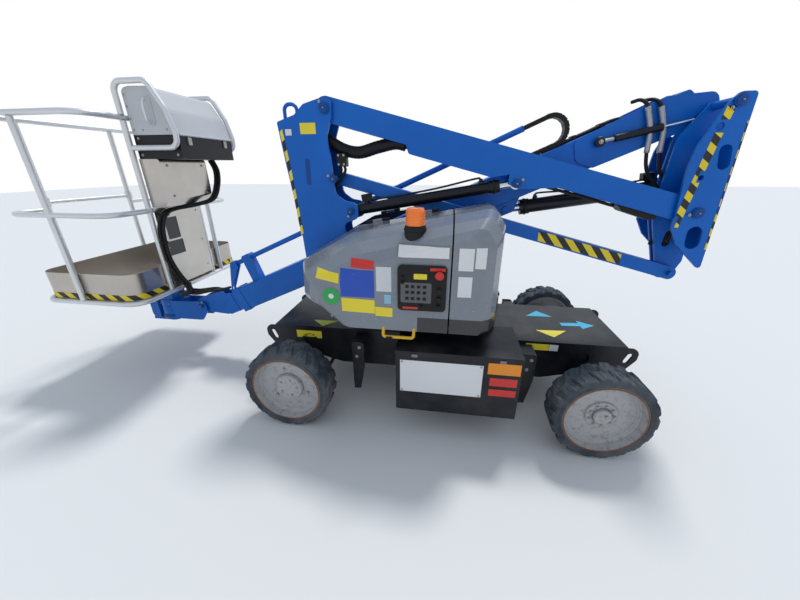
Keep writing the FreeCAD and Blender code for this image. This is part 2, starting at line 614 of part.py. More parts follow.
def lower_link():
    """Lower arm of the parallelogram: a slim box with round eyes."""
    length = S.secondary_length
    half = S.link_depth / 2
    eye = S.small_pin_radius + S.running_gap

    def local(points):
        shifted = [near_arm(p[0], p[1]) for p in points]
        return [(x + LINK_DX, z + LINK_DZ) + tuple(p[2:]) for (x, z), p in zip(shifted, points)]

    outline = local([(-half, half, half - 1), (length + half, half, half - 1), (length + half, -half, half - 1),
                     (-half, -half, half - 1)])
    holes = [circle(S.link_pin_x, S.link_pin_z, eye), circle(FAR_PIN_X + LINK_DX, FAR_PIN_Z + LINK_DZ, eye)]
    keep("lower_link", slab([corner_arcs(outline), *holes], "link_width", y="near_column + column_half - link_width + 5"))


def mast():
    """Upper pivot: four plates and a web that carry both booms and the lift cylinder."""

    def local(points):
        return [(FAR_PIN_X + p[0], FAR_PIN_Z + p[1]) + tuple(p[2:]) for p in points]

    def hole(u, v):
        return FAR_PIN_X + u, FAR_PIN_Z + v

    top = S.mast_pin_rise + 40
    lift_x, lift_z = S.lift_base_back, S.lift_base_rise
    outer = local([
        (115, -335, 14), (90, top, 20), (17, top, 30), (-22, top - 42, 60), (-110, 330, 80), (-119, 223, 100),
        (-104, -91, 20), (-48, -188, 20),
    ])
    outer_holes = [circle(*hole(-30, 430), 20), slot(*hole(40, 286), 125, 30, 101), circle(*hole(-40, 184), 14),
                   slot(*hole(24, -140), 130, 40, 95)]
    inner = local([
        (92, top - 15, 20), (5, top - 15, 30), (-115, 400, 60), (lift_x - 95, lift_z - 60, 60), (-120, -82, 20),
        (-38, -335, 20), (LINK_DX - 42, LINK_DZ - 48, 30), (LINK_DX + 42, LINK_DZ - 48, 40), (114, -320, 20),
    ])
    inner_hole = slot(*hole(-8, -180), 100, 26, 85)
    plates = [slab([corner_arcs(outer), *outer_holes], "plate", y=y) for y in (NEAR_PLATE_Y, FAR_PLATE_Y)]
    plates += [slab([corner_arcs(inner), inner_hole], "plate", y=y) for y in (NEAR_INNER_Y, FAR_INNER_Y)]
    span = f"{FAR_PLATE_Y} - ({NEAR_PLATE_Y}) + plate"
    web = slab([corner_arcs(local([(112, -235), (94, 405), (79, 405), (97, -235)]))], span, y=NEAR_PLATE_Y)
    start = f"{NEAR_PLATE_Y} - 8"
    pins = [
        rod("pin_radius", f"{span} + 16", MAST_PIN_X, start, MAST_PIN_Z),
        rod("pin_radius", "2 * column_half + 2 * fit_gap + 2 * plate + 8", FAR_PIN_X, start, FAR_PIN_Z),
        rod("small_pin_radius", "120", FAR_PIN_X + LINK_DX, "near_column + column_half - 76", FAR_PIN_Z + LINK_DZ),
        rod("pin_radius", "2 * column_half + 2 * fit_gap + 2 * plate", LIFT_BASE_X, FAR_INNER_Y, LIFT_BASE_Z),
    ]
    keep("mast", fuse(*plates, web, *pins))


def cylinder(barrel_node, rod_node, base, eye, column, barrel_radius, rod_radius, base_pin, eye_pin):
    """A lift cylinder: barrel with its base eye, and a rod that slides in it and carries its own short eye pin."""
    dx, dz = eye[0] - base[0], eye[1] - base[1]
    length = hypot(dx, dz)
    turn = FreeCAD.Rotation(Z_AXIS, V(dx, 0, dz))
    barrel_end = length - 95
    outer = Part.makeCylinder(barrel_radius, barrel_end - 20, V(0, 0, 20))
    collar = Part.makeCylinder(barrel_radius + 5, 60, V(0, 0, barrel_end - 60))
    lug = Part.makeCylinder(base_pin + 22, 56, V(0, -28, 0), Y_AXIS)
    hollow = Part.makeCylinder(rod_radius + S.running_gap, barrel_end, V(0, 0, 70))
    bore = Part.makeCylinder(base_pin + S.running_gap, 120, V(0, -60, 0), Y_AXIS)
    barrel = outer.fuse([collar, lug]).cut(hollow).cut(bore).removeSplitter()
    bar = Part.makeCylinder(rod_radius, length - 90, V(0, 0, 75))
    eye_lug = Part.makeCylinder(eye_pin + 18, 2 * EYE_HALF - 10, V(0, 5 - EYE_HALF, length), Y_AXIS)
    eye_rod = Part.makeCylinder(eye_pin, 2 * EYE_HALF, V(0, -EYE_HALF, length), Y_AXIS)
    piston = bar.fuse([eye_lug, eye_rod]).removeSplitter()
    where = FreeCAD.Placement(V(base[0], column, base[1]), turn)
    for node, shape in ((barrel_node, barrel), (rod_node, piston)):
        item = shaped(shape)
        item.Placement = where
        keep(node, item)


def lift_cylinders():
    rod_x, rod_z = near_arm(S.rod_pin_along, -S.rod_pin_below)
    near_y = S.near_column - S.column_half + ROD_COLUMN
    cylinder("secondary_cylinder", "secondary_rod", (S.ear_pin_x, S.ear_pin_z), (rod_x, rod_z), near_y,
             S.secondary_barrel_radius, S.secondary_rod_radius, S.small_pin_radius, S.small_pin_radius)
    cylinder("primary_cylinder", "primary_rod", (LIFT_BASE_X, LIFT_BASE_Z), (LIFT_ROD_X, LIFT_ROD_Z),
             S.far_column, S.lift_barrel_radius, S.lift_rod_radius, S.pin_radius, S.small_pin_radius)


def hollow_tube(along0, along1, depth, width, wall, centre):
    """A straight rectangular tube of the primary boom's line, as a shape."""
    turn = FreeCAD.Rotation(Z_AXIS, V(-cos(SLOPE), 0, -sin(SLOPE)))
    x, z = boom(along0, centre)
    length = along1 - along0
    outer = Part.makeBox(depth, width, length, V(-depth / 2, -width / 2, 0))
    outer = outer.makeFillet(wall * 1.5, [e for e in outer.Edges if abs(e.tangentAt(e.FirstParameter).z) > 0.99])
    inner = Part.makeBox(depth - 2 * wall, width - 2 * wall, length + 2, V(-depth / 2 + wall, -width / 2 + wall, -1))
    tube = outer.cut(inner)
    tube.Placement = FreeCAD.Placement(V(x, S.far_column, z), turn)
    return tube


def primary_boom():
    """Base section: a box tube, root plates on the mast pin, the rod lugs and the mouth collar."""
    width = 2 * S.column_half
    centre = S.boom_centre
    half = S.boom_depth / 2
    tube = shaped(hollow_tube(150, S.boom_end, S.boom_depth, width, S.boom_wall, centre))
    eye = S.pin_radius + S.running_gap
    root = corner_arcs([
        boom(-62, 62) + (50,), boom(175, centre + half + 16) + (30,), boom(678, centre + half - 3) + (40,),
        boom(699, centre - 24) + (50,), boom(617, centre - half - 2) + (30,), boom(60, -72) + (60,),
        boom(-62, -62) + (55,),
    ])
    outer_y = S.far_column - S.column_half
    cheeks = []
    for y in (outer_y - 8, S.far_column + S.column_half):
        cheeks.append(slab([root, circle(MAST_PIN_X, MAST_PIN_Z, eye)], "8", y=y))
    hub = cut(rod("pin_radius + 26", "2 * column_half", MAST_PIN_X, "far_column - column_half", MAST_PIN_Z),
              rod(eye, "2 * column_half + 20", MAST_PIN_X, "far_column - column_half - 10", MAST_PIN_Z))
    foot = corner_arcs([boom(60, centre + half) + (20,), boom(160, centre + half) + (0,), boom(160, centre - half) + (0,),
                        boom(60, centre - half) + (0,), boom(20, -30) + (0,), boom(20, 60) + (0,)])
    root_block = cut(slab([foot], "2 * column_half", y="far_column - column_half"),
                     rod(S.pin_radius + 20, "2 * column_half + 20", MAST_PIN_X, "far_column - column_half - 10",
                         MAST_PIN_Z))
    along, up = S.lift_rod_along, -S.lift_rod_below
    lug = corner_arcs([
        boom(along - 110, centre - half + 1) + (0,), boom(along + 110, centre - half + 1) + (0,),
        boom(along + 45, up - 30) + (30,), boom(along - 45, up - 30) + (30,),
    ])
    inside = EYE_HALF + 1
    lugs = [slab([lug], "12", y=y) for y in (f"far_column - {inside} - 12", f"far_column + {inside}")]
    bosses = [rod("small_pin_radius + 8", "10", LIFT_ROD_X, y, LIFT_ROD_Z)
              for y in (f"far_column - {inside} - 20", f"far_column + {inside} + 10")]
    gap = S.running_gap
    mouth_out = hollow_tube(S.boom_end - 50, S.boom_end + 12, S.boom_depth + 16, width + 8, 4, centre)
    hole = Part.makeBox(S.extension_depth + 2 * gap, S.extension_width + 2 * gap, 400,
                        V(-S.extension_depth / 2 - gap, -S.extension_width / 2 - gap, -100))
    full = Part.makeBox(S.boom_depth - 2, width - 2, 40, V(-S.boom_depth / 2 + 1, -width / 2 + 1, 0))
    turn = FreeCAD.Rotation(Z_AXIS, V(-cos(SLOPE), 0, -sin(SLOPE)))
    x, z = boom(S.boom_end - 30, centre)
    pads = full.cut(hole)
    pads.Placement = FreeCAD.Placement(V(x, S.far_column, z), turn)
    keep("primary_boom", fuse(tube, *cheeks, hub, root_block, *lugs, *bosses, shaped(mouth_out), shaped(pads)))


def extension():
    """Sliding section with the deep head that carries the platform's levelled bracket."""
    centre = S.boom_centre
    half = S.extension_depth / 2
    inner_end = S.boom_end - S.extension_stroke - S.extension_overlap
    tube = shaped(hollow_tube(inner_end, S.boom_end + 170, S.extension_depth, S.extension_width, 6, centre))

    def near_tip(u, v, corner=0):
        return TIP_X + u, TIP_Z + v, corner

    head = corner_arcs([
        boom(S.boom_end + 60, centre + half), near_tip(165, 120, 40), near_tip(11, 76, 60), near_tip(-55, 37, 30),
        near_tip(-50, -51, 30), near_tip(227, -73, 20), boom(S.boom_end + 60, centre - half),
    ])
    inside = corner_arcs([
        boom(S.boom_end + 160, centre + half - 8), near_tip(150, 104), near_tip(60, 78), near_tip(60, -40),
        near_tip(222, -62), boom(S.boom_end + 160, centre - half + 8),
    ])
    cheeks = [slab([head, circle(TIP_X, TIP_Z, S.small_pin_radius)], "12", y=y)
              for y in ("far_column - extension_width / 2 - 4", "far_column + extension_width / 2 - 8")]
    core = slab([inside], "extension_width - 10", y="far_column - extension_width / 2 + 5")
    pin = rod("small_pin_radius", "extension_width + 60", TIP_X, "far_column - extension_width / 2 - 30", TIP_Z)
    keep("extension_boom", fuse(tube, *cheeks, core, pin))


def hose_carrier():
    """Round tube that carries the hoses above the boom and slides with the extension."""
    height = S.carrier_height + S.boom_centre
    rear = CARRIER_REAR + S.chain_lap + S.running_gap
    x, z = boom(rear, height)
    turn = FreeCAD.Rotation(Z_AXIS, V(-cos(SLOPE), 0, -sin(SLOPE)))
    bar = Part.makeCylinder(S.carrier_radius, S.boom_end - 80 - rear)
    bar.Placement = FreeCAD.Placement(V(x, S.far_column, z), turn)
    seat = S.boom_centre + S.extension_depth / 2
    foot = corner_arcs([
        boom(S.boom_end + 18, seat), boom(S.boom_end + 52, seat),
        boom(S.boom_end - 92, height + 26) + (14,), boom(S.boom_end - 138, height + 26) + (14,),
        boom(S.boom_end - 138, height - 26), boom(S.boom_end + 18, seat + 32) + (10,),
    ])
    bracket = slab([foot], "12", y="far_column - 6")
    side = slab([foot], "6", y="far_column - 40")
    tie = Part.makeBox(20, 40, 12)
    tie.Placement = FreeCAD.Placement(V(*boom_spot(S.boom_end - 85, S.far_column - 40, height - 30)),
                                      FreeCAD.Rotation(Y_AXIS, -S.boom_drop))
    keep("hose_carrier", fuse(shaped(bar), bracket, side, shaped(tie)))
    base = S.boom_centre + S.boom_depth / 2 + S.running_gap
    ring = corner_arcs([
        boom(S.boom_end - 190, base), boom(S.boom_end - 210, height + 34) + (20,),
        boom(S.boom_end - 290, height + 34) + (20,), boom(S.boom_end - 270, base),
    ])
    guide = slab([ring], "70", y="far_column - 35")
    x0, z0 = boom(S.boom_end - 320, height)
    hole = Part.makeCylinder(S.carrier_radius + S.running_gap, 160)
    hole.Placement = FreeCAD.Placement(V(x0, S.far_column, z0), turn)
    keep("carrier_guide", cut(guide, shaped(hole)))


def energy_chain():
    """Link chain for the hoses: from the boom's back, round the loop, to the carrier tube's rear end."""
    high = S.carrier_height + S.boom_centre
    low = S.boom_centre + S.boom_depth / 2 + 17
    rail = (high - low) / 2
    pitch = S.chain_pitch
    spots = [(CARRIER_REAR - (k + 0.5) * pitch, high, 0) for k in range(int(S.chain_upper_links))]
    turns = int(round(pi * rail / pitch)) + 1
    for k in range(turns):
        angle = pi / 2 - pi * (k + 0.5) / turns
        spots.append((S.chain_loop - rail * cos(angle), low + rail + rail * sin(angle), degrees(pi / 2 - angle)))
    spots += [(S.chain_loop + (k + 0.5) * pitch, low, 180) for k in range(5)]
    y = S.far_column - S.chain_width / 2
    parts = []
    for along, up, tilt in spots:
        x, z = boom(along, up)
        where = FreeCAD.Placement(V(x, y, z), FreeCAD.Rotation(Y_AXIS, tilt - S.boom_drop))
        for length, inset, height in ((pitch - 10, 0, 28), (pitch + 2 * S.chain_lap, 6, 20)):
            link = Part.makeBox(length, S.chain_width - 2 * inset, height, V(-length / 2, inset, -height / 2))
            link.Placement = where
            parts.append(link)
    foot = Part.makeBox(40, 44, 16, V(-20, 8, 17 - S.running_gap - 16))
    x, z = boom(S.chain_loop + 4.5 * pitch, low)
    foot.Placement = FreeCAD.Placement(V(x, y, z), FreeCAD.Rotation(Y_AXIS, -S.boom_drop - 180))
    keep("energy_chain", shaped(parts[0].fuse([*parts[1:], foot])))


def platform_mount():
    """Levelled bracket on the boom tip with the rotator's housing, and the yoke that the platform stands on."""
    axis_x = ROTATOR_X
    low, high = ROTATOR_LOW, ROTATOR_HIGH
    side = corner_arcs([
        (TIP_X + 42, high - 28, 34), (TIP_X + 42, TIP_Z - 48, 34), (TIP_X - 20, low + 28, 24),
        (axis_x + 40, low + 28), (axis_x + 40, high - 28),
    ])
    eye = S.small_pin_radius + S.running_gap
    cheeks = [slab([side, circle(TIP_X, TIP_Z, eye)], "14", y=y)
              for y in ("far_column - extension_width / 2 - 26", "far_column + extension_width / 2 + 12")]
    housing = rod("rotator_radius", "rotator_height - 44", axis_x, "far_column", low + 22, "z")
    throat = box("100", "extension_width + 50", "rotator_height - 60", axis_x + 30,
                 "far_column - extension_width / 2 - 25", low + 28)
    keep("level_bracket", fuse(*cheeks, housing, throat))
    gap = S.running_gap
    plate = 22
    top = rod("rotator_radius - 8", plate - gap, axis_x, "far_column", high - plate + gap, "z")
    bottom = rod("rotator_radius - 28", plate - gap, axis_x, "far_column", low, "z")
    arms = [box("185", "110", plate - gap, axis_x - 185, "far_column - 55", z) for z in (high - plate + gap, low)]
    back = slab([corner_arcs([(axis_x - 110, low), (axis_x - 165, low, 16), (axis_x - 190, low + 50, 30),
                              (axis_x - 190, high - 30, 20), (axis_x - 150, high, 16), (axis_x - 110, high)])],
                "110", y="far_column - 55")
    neck = box("150", "150", PLATFORM_FLOOR - high - 24 - gap, axis_x - 75, "far_column - 75", high - 2)
    beam = box("platform_depth - 160", "90", 26 - gap, f"{PLATFORM_REAR} - platform_depth + 80", "far_column - 45",
               PLATFORM_FLOOR - 52)
    keep("platform_yoke", fuse(top, bottom, *arms, back, neck, beam))


PANEL_SIDE = 168


def platform():
    """Aluminium platform: ring rails, mid rails, posts, hoops, floor tray with toe boards, and the entry bar."""
    rear = PLATFORM_REAR
    front = rear - S.platform_depth
    near = S.far_column - S.platform_width / 2
    far = S.far_column + S.platform_width / 2
    floor = PLATFORM_FLOOR
    radius = S.rail_radius
    gap = S.running_gap

    def ring(z):
        return bent_tube([(front, near, z), (rear, near, z), (rear, far, z), (front, far, z)], radius, S.rail_corner,
                         closed=True)

    half_console = S.console_width / 2 + 25
    half_entry = S.entry_width / 2
    top = floor + S.rail_height - radius
    mid = floor + S.mid_rail
    keep("platform_rails", shaped(Part.makeCompound([ring(floor), ring(top)])))
    posts = [
        (front + 350, near), (front + 350, far), (rear, S.far_column - half_console), (rear, S.far_column + half_console),
        (rear, S.far_column + PANEL_SIDE + S.post_radius), (front, S.far_column - half_entry),
        (front, S.far_column + half_entry),
    ]
    low_end, high_end = floor + radius + gap, top - radius - gap
    bars = [Part.makeCylinder(S.post_radius, high_end - low_end, V(x, y, low_end)) for x, y in posts]
    keep("platform_posts", shaped(Part.makeCompound(bars)))
    path = [(front, S.far_column - half_entry, mid), (front, near, mid), (rear, near, mid), (rear, far, mid),
            (front, far, mid), (front, S.far_column + half_entry, mid)]
    rail = bent_tube(path, radius, S.rail_corner)
    room = [Part.makeCylinder(S.post_radius + gap, 100, V(x, y, mid - 50)) for x, y in posts]
    keep("platform_mid_rails", shaped(rail.cut(room)))
    hoops = []
    for side in (-1, 1):
        y = S.far_column + side * half_console
        high = floor + S.hoop_rise - radius
        low = CONSOLE_LOW + 67
        hoop = [(rear, y, top + radius + gap), (rear, y, high), (rear + 235, y, high), (rear + 320, y, high - 153),
                (rear + 356, y, high - 283), (rear + 356, y, low), (rear + S.post_radius + gap, y, low)]
        hoops.append(bent_tube(hoop, radius, 60))
    keep("console_hoops", shaped(Part.makeCompound(hoops)))
    tray_plans = []
    for inset in (radius + 1, radius + 1 + S.toe_plate):
        corner = S.rail_corner - inset
        tray_plans.append([(front + inset, near + inset, corner), (rear - inset, near + inset, corner),
                           (rear - inset, far - inset, corner), (front + inset, far - inset, corner)])
    wall = slab([corner_arcs(plan) for plan in tray_plans], "toe_height", z=floor - 22, plane="xy")
    sheet_floor = slab([corner_arcs(tray_plans[0])], "4", z=floor - 26, plane="xy")
    keep("platform_floor_tray", fuse(wall, sheet_floor))
    bar_z = mid + 50
    bar = Part.makeCylinder(radius - 3, S.entry_width - 2 * S.post_radius - 2,
                            V(front, S.far_column - half_entry + S.post_radius + 1, bar_z), Y_AXIS)
    sleeves = []
    for side in (-1, 1):
        y = S.far_column + side * half_entry
        collar = Part.makeCylinder(S.post_radius + 7, 60, V(front, y, bar_z - 28))
        sleeves.append(collar.cut(Part.makeCylinder(S.post_radius + gap, 80, V(front, y, bar_z - 38))))
    keep("entry_bar", shaped(bar.fuse(sleeves)))


def console():
    """Platform controls: black box, grey rolled lid hinged on its outer edge, the steel cabinet and panel below."""
    rear = PLATFORM_REAR
    half = S.console_width / 2
    low = CONSOLE_LOW
    x0 = rear + 22
    base = box("console_depth", "console_width", "console_height", x0, f"far_column - {half}", low)
    reach = half + 25 - S.rail_radius - S.running_gap
    ears = box("console_depth - 90", 2 * reach, "30", x0 + 40, f"far_column - {reach}", low + 52)
    keep("console_box", fuse(base, ears))
    z0 = low + S.console_height + S.running_gap
    depth = S.console_depth
    tall = S.lid_height
    profile = [(x0, z0), (x0, z0 + tall - 12, 36), (x0 + 60, z0 + tall, 50), (x0 + 205, z0 + tall - 4, 60),
               (x0 + 292, z0 + 140, 140), (x0 + depth + 4, z0, 0)]
    inner = [(x0 - 5, z0 - 5), (x0 - 5, z0 + tall - 18, 0), (x0 + 58, z0 + tall - 6, 44), (x0 + 201, z0 + tall - 10, 54),
             (x0 + 286, z0 + 138, 134), (x0 + depth - 3, z0 - 5, 0)]
    outer = slab([corner_arcs(profile)], "console_width", y=f"far_column - {half}")
    hollow = slab([corner_arcs(inner)], "console_width - 8", y=f"far_column - {half} + 4")
    barrel = rod("hinge_radius", "console_width", x0 + depth + S.hinge_radius + S.running_gap, f"far_column - {half}", z0)
    keep("console_lid", fuse(cut(outer, hollow), barrel))
    face_x = rear + S.rail_radius + S.running_gap + 1
    left = S.far_column - half - 25 + S.post_radius + S.running_gap
    width = S.far_column + PANEL_SIDE - S.running_gap - left
    split = PLATFORM_FLOOR + S.mid_rail + S.rail_radius + 4
    cabinet = slab([corner_arcs([(face_x, split), (face_x, low - S.running_gap), (face_x + 150, low - S.running_gap, 20),
                                 (face_x + 150, split + 60, 30), (face_x + 110, split, 20)])], width, y=left)
    keep("console_cabinet", cabinet)
    panel = box("panel_plate", width, split - PLATFORM_FLOOR - 44 - 4, face_x, left, PLATFORM_FLOOR + 40)
    windows = [box("40", w, h, rear, left + y, PLATFORM_FLOOR + z) for y, z, w, h in ((62, 390, 118, 160), (40, 268, 150, 108))]
    keep("console_panel", cut(panel, *windows))


def cover_section(drop, front, rear, bottom):
    """One side-view section of a turntable cover, with the same corners in every section."""
    return [
        (front, bottom + 150, 60), (front + 10, 1060 - drop, 40), (front + 330, S.cover_shoulder - drop, 90),
        (rear - 60, S.cover_crown - drop, 60), (rear, S.cover_crown - 95 - drop, 60), (rear, bottom, 20),
        (front + 160, bottom, 60),
    ]


def cover_shape(inset, inner_edge, bottom):
    """Cover solid between its inner edge and its outer face, as a lofted body with bevelled rims."""
    # Columns: side offset, how far the top drops, how far the front and the rear draw in
    stations = (
        (inner_edge, 0, 0, 0), (S.cover_outer - 205, 8, 12, 4), (S.cover_outer - 95, 40, 62, 26),
        (S.cover_outer - 32, 84, 120, 62), (S.cover_outer - inset, 128, 185, 110),
    )
    wires = []
    for y, drop, front_in, rear_in in stations:
        points = cover_section(drop + inset, S.cover_front + front_in + inset, S.cover_rear - rear_in - inset, bottom)
        edges = [piece.toShape() for piece in corner_arcs(points)]
        wire = Part.Wire(edges)
        wire.Placement = FreeCAD.Placement(V(0, y, 0), FreeCAD.Rotation(X_AXIS, 90))
        wires.append(wire)
    return Part.makeLoft(wires, True, True)


def covers():
    """Grey rolled covers on both sides, open inwards and below; the front one lifts, the rear one is fixed."""
    hollow = cover_shape(S.cover_wall, S.cover_inner - 10, S.cover_bottom - 30)
    solid = cover_shape(0, S.cover_inner, S.cover_bottom).cut(hollow)
    far = 3000
    front_box = Part.makeBox(far, far, far, V(S.cover_seam - S.seam_gap / 2 - far, 0, 0))
    rear_box = Part.makeBox(far, far, far, V(S.cover_seam + S.seam_gap / 2, 0, 0))
    for name, side in (("near", -1), ("far", 1)):
        for part, region in (("cover_front", front_box), ("cover_rear", rear_box)):
            piece = solid.common(region)
            if side < 0:
                piece = piece.mirror(V(0, 0, 0), Y_AXIS)
            if part == "cover_front":
                piece = piece.fuse([cover_hinge(side, x, False) for x in HINGE_PLACES])
            keep(f"{part}_{name}", shaped(piece))


def fittings():
    """Ground control panel, beacon on its foot, cover latch."""
    panel = slab([corner_arcs([(-232, 858, 22), (-232, 1113, 22), (29, 1113, 22), (29, 858, 22)])], "16",
                 y="-cover_outer - 16 - running_gap")
    keep("control_panel", panel)
    body = cover_shape(0, S.cover_inner, S.cover_bottom).mirror(V(0, 0, 0), Y_AXIS)
    raised = body.copy()
    raised.translate(V(0, 0, S.running_gap))
    spot = ("-152", "-550", "1303")
    lamp = turned([(0, 0), (50, 0), (50, 76), (42, 88), (0, 90)], *spot)
    foot = turned([(0, -110), (58, -110), (58, -10), (52, -0.1), (0, -0.1)], *spot)
    keep("beacon_lamp", lamp)
    keep("beacon_base", cut(foot, shaped(raised)))
    handle = shaped(bent_tube([(-318, -640, 740), (-318, -664, 684), (-142, -664, 684), (-142, -640, 740)], 9, 16))
    lowered = body.copy()
    lowered.translate(V(0, 0, -S.running_gap))
    keep("cover_latch", cut(handle, shaped(lowered)))


for build in (chassis, outriggers, battery_boxes, slew_bearing, axles, steering, wheels, turntable, riser, secondary_boom,
              lower_link, mast, lift_cylinders, primary_boom, extension, hose_carrier, energy_chain, platform_mount,
              platform, console, covers, fittings):
    build()

doc.recompute()
failed = [item.Label for item in doc.Objects if "Invalid" in item.State or "Error" in item.State]
for node, item in NODES.items():
    if item.Shape.isNull() or not item.Shape.isValid():
        failed.append(node)
if failed:
    raise RuntimeError("failed: " + ", ".join(failed))
for node, item in NODES.items():
    item.Shape.exportStep(f"parts/{node}.step")
    print(f"{node:22s} solids {len(item.Shape.Solids)} faces {len(item.Shape.Faces):4d} volume {item.Shape.Volume / 1e6:9.2f} l")
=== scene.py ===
# %% [markdown]
# ## Articulating boom lift: looks
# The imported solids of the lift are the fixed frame. This lesson paints them, adds the trim that the solids leave
# out, and lights the machine. The solids never move, so every added piece is placed by the same measures.

import json
import math

import bpy
from mathutils import Matrix, Vector
from mathutils.bvhtree import BVHTree


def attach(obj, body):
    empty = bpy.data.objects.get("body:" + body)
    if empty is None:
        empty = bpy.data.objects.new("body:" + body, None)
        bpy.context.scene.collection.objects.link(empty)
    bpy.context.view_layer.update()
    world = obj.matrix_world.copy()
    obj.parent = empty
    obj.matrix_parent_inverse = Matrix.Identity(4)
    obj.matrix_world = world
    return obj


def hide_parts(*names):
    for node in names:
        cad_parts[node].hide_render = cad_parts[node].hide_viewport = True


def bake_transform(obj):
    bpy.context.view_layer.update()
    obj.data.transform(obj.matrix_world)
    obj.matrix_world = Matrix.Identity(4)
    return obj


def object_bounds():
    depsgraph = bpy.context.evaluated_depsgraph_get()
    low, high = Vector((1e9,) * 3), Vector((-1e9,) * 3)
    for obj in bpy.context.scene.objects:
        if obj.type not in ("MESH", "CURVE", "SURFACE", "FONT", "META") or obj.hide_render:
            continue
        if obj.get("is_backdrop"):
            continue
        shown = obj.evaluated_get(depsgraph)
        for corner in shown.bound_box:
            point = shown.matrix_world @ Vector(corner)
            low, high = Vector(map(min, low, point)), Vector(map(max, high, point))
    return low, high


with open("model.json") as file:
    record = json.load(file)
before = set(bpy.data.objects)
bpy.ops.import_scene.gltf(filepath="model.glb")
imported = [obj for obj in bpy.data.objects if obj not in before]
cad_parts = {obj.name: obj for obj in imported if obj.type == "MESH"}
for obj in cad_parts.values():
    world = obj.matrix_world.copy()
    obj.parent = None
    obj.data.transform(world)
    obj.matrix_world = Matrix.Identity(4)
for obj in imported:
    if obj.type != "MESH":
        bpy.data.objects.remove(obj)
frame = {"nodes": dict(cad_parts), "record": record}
NODES = frame["nodes"]

# %% [markdown]
# ## Places
# The lift stands with its nose to -X, and the side with the ground controls faces -Y. Its trim could be placed by
# eye, but the arms slope, so the pins and the slopes are named once and points are counted along each arm.

# %% Places of wheels, pins and arms
HALF_BASE = 0.94
WHEEL_R = 0.28
WHEEL_Y = 0.645
DROP = math.radians(14.7)
SLOPE = math.radians(24)
NEAR_Y = -0.105
FAR_Y = 0.105
RISER_PIN = Vector((-0.732, 0, 1.905))
LINK_PIN = Vector((-0.707, 0, 1.519))
EAR_PIN = Vector((-0.606, 0, 1.322))
MAST_PIN = Vector((1.4208, 0, 1.8905))
FAR_PIN = Vector((1.4008, 0, 1.3455))
LIFT_BASE = Vector((1.3608, 0, 1.4705))
LIFT_ROD = Vector((0.4004, 0, 1.3157))
TIP = Vector((-2.0692, 0, 0.4701))


def near_arm(along, up, y=NEAR_Y):
    """A point of the secondary boom's line, along from its riser pin."""
    return RISER_PIN + Vector((along * math.cos(DROP) + up * math.sin(DROP), y,
                               up * math.cos(DROP) - along * math.sin(DROP)))


def boom(along, up, y=FAR_Y):
    """A point of the primary boom's line, along from its mast pin to the tip."""
    return MAST_PIN + Vector((-along * math.cos(SLOPE) - up * math.sin(SLOPE), y,
                              up * math.cos(SLOPE) - along * math.sin(SLOPE)))


print("boom tip from the mast pin", round((MAST_PIN - TIP).length, 3))

# %% [markdown]
# ## Shader helpers
# A painted surface needs many small nodes. Each could be made and linked by hand in the shader editor; a short
# function does it in one line and keeps the recipe readable.

# %% Make a shader node in one call
def add(tree, kind, settings=None, **inputs):
    """Makes a node, sets its options and fills its inputs: i0 and i1 by number, the others by label."""
    made = tree.nodes.new(kind)
    for key, value in (settings or {}).items():
        setattr(made, key, value)
    for key, value in inputs.items():
        numbered = key[0] == "i" and key[1:].isdigit()
        socket = made.inputs[int(key[1:])] if numbered else made.inputs[key.replace("_", " ")]
        if isinstance(value, bpy.types.NodeSocket):
            tree.links.new(value, socket)
        else:
            socket.default_value = value
    return made


def group(name, inputs, outputs):
    """An empty node group with named sockets; returns it with its two end nodes."""
    tree = bpy.data.node_groups.new(name, "ShaderNodeTree")
    for label, kind, value in inputs:
        socket = tree.interface.new_socket(label, in_out="INPUT", socket_type=f"NodeSocket{kind}")
        if value is not None:
            socket.default_value = value
    for label, kind in outputs:
        tree.interface.new_socket(label, in_out="OUTPUT", socket_type=f"NodeSocket{kind}")
    return tree, tree.nodes.new("NodeGroupInput"), tree.nodes.new("NodeGroupOutput")


def maths(tree, operation, a, b=None, clamp=False):
    """One sum of values or sockets."""
    made = add(tree, "ShaderNodeMath", {"operation": operation, "use_clamp": clamp}, i0=a)
    if b is not None:
        made.inputs[1].default_value = 0
        if isinstance(b, bpy.types.NodeSocket):
            tree.links.new(b, made.inputs[1])
        else:
            made.inputs[1].default_value = b
    return made.outputs[0]


def ramp(tree, fac, low, high):
    """A smooth step from 0 at low to 1 at high."""
    made = add(tree, "ShaderNodeMapRange", {"interpolation_type": "SMOOTHSTEP"}, Value=fac, From_Min=low,
               From_Max=high)
    return made.outputs["Result"]


def noise(tree, scale, detail=4, rough=0.55, vector=None):
    """Cloudy values that stay with the piece when it moves."""
    made = add(tree, "ShaderNodeTexNoise", Scale=scale, Detail=detail, Roughness=rough)
    if vector is None:
        vector = add(tree, "ShaderNodeTexCoord").outputs["Object"]
    tree.links.new(vector, made.inputs["Vector"])
    return made.outputs["Fac"]


def mixed(tree, fac, a, b):
    """A colour between a and b."""
    made = add(tree, "ShaderNodeMix", {"data_type": "RGBA"})
    for socket, value in ((made.inputs[0], fac), (made.inputs[6], a), (made.inputs[7], b)):
        if isinstance(value, bpy.types.NodeSocket):
            tree.links.new(value, socket)
        else:
            socket.default_value = value
    return made.outputs[2]


print("shader helpers ready")

# %% [markdown]
# ## Dust and wear
# A hired machine carries dust on what faces up and splashes near the ground. A picture could be painted for it;
# the face's own direction and height give the same without any picture, for every piece at once.

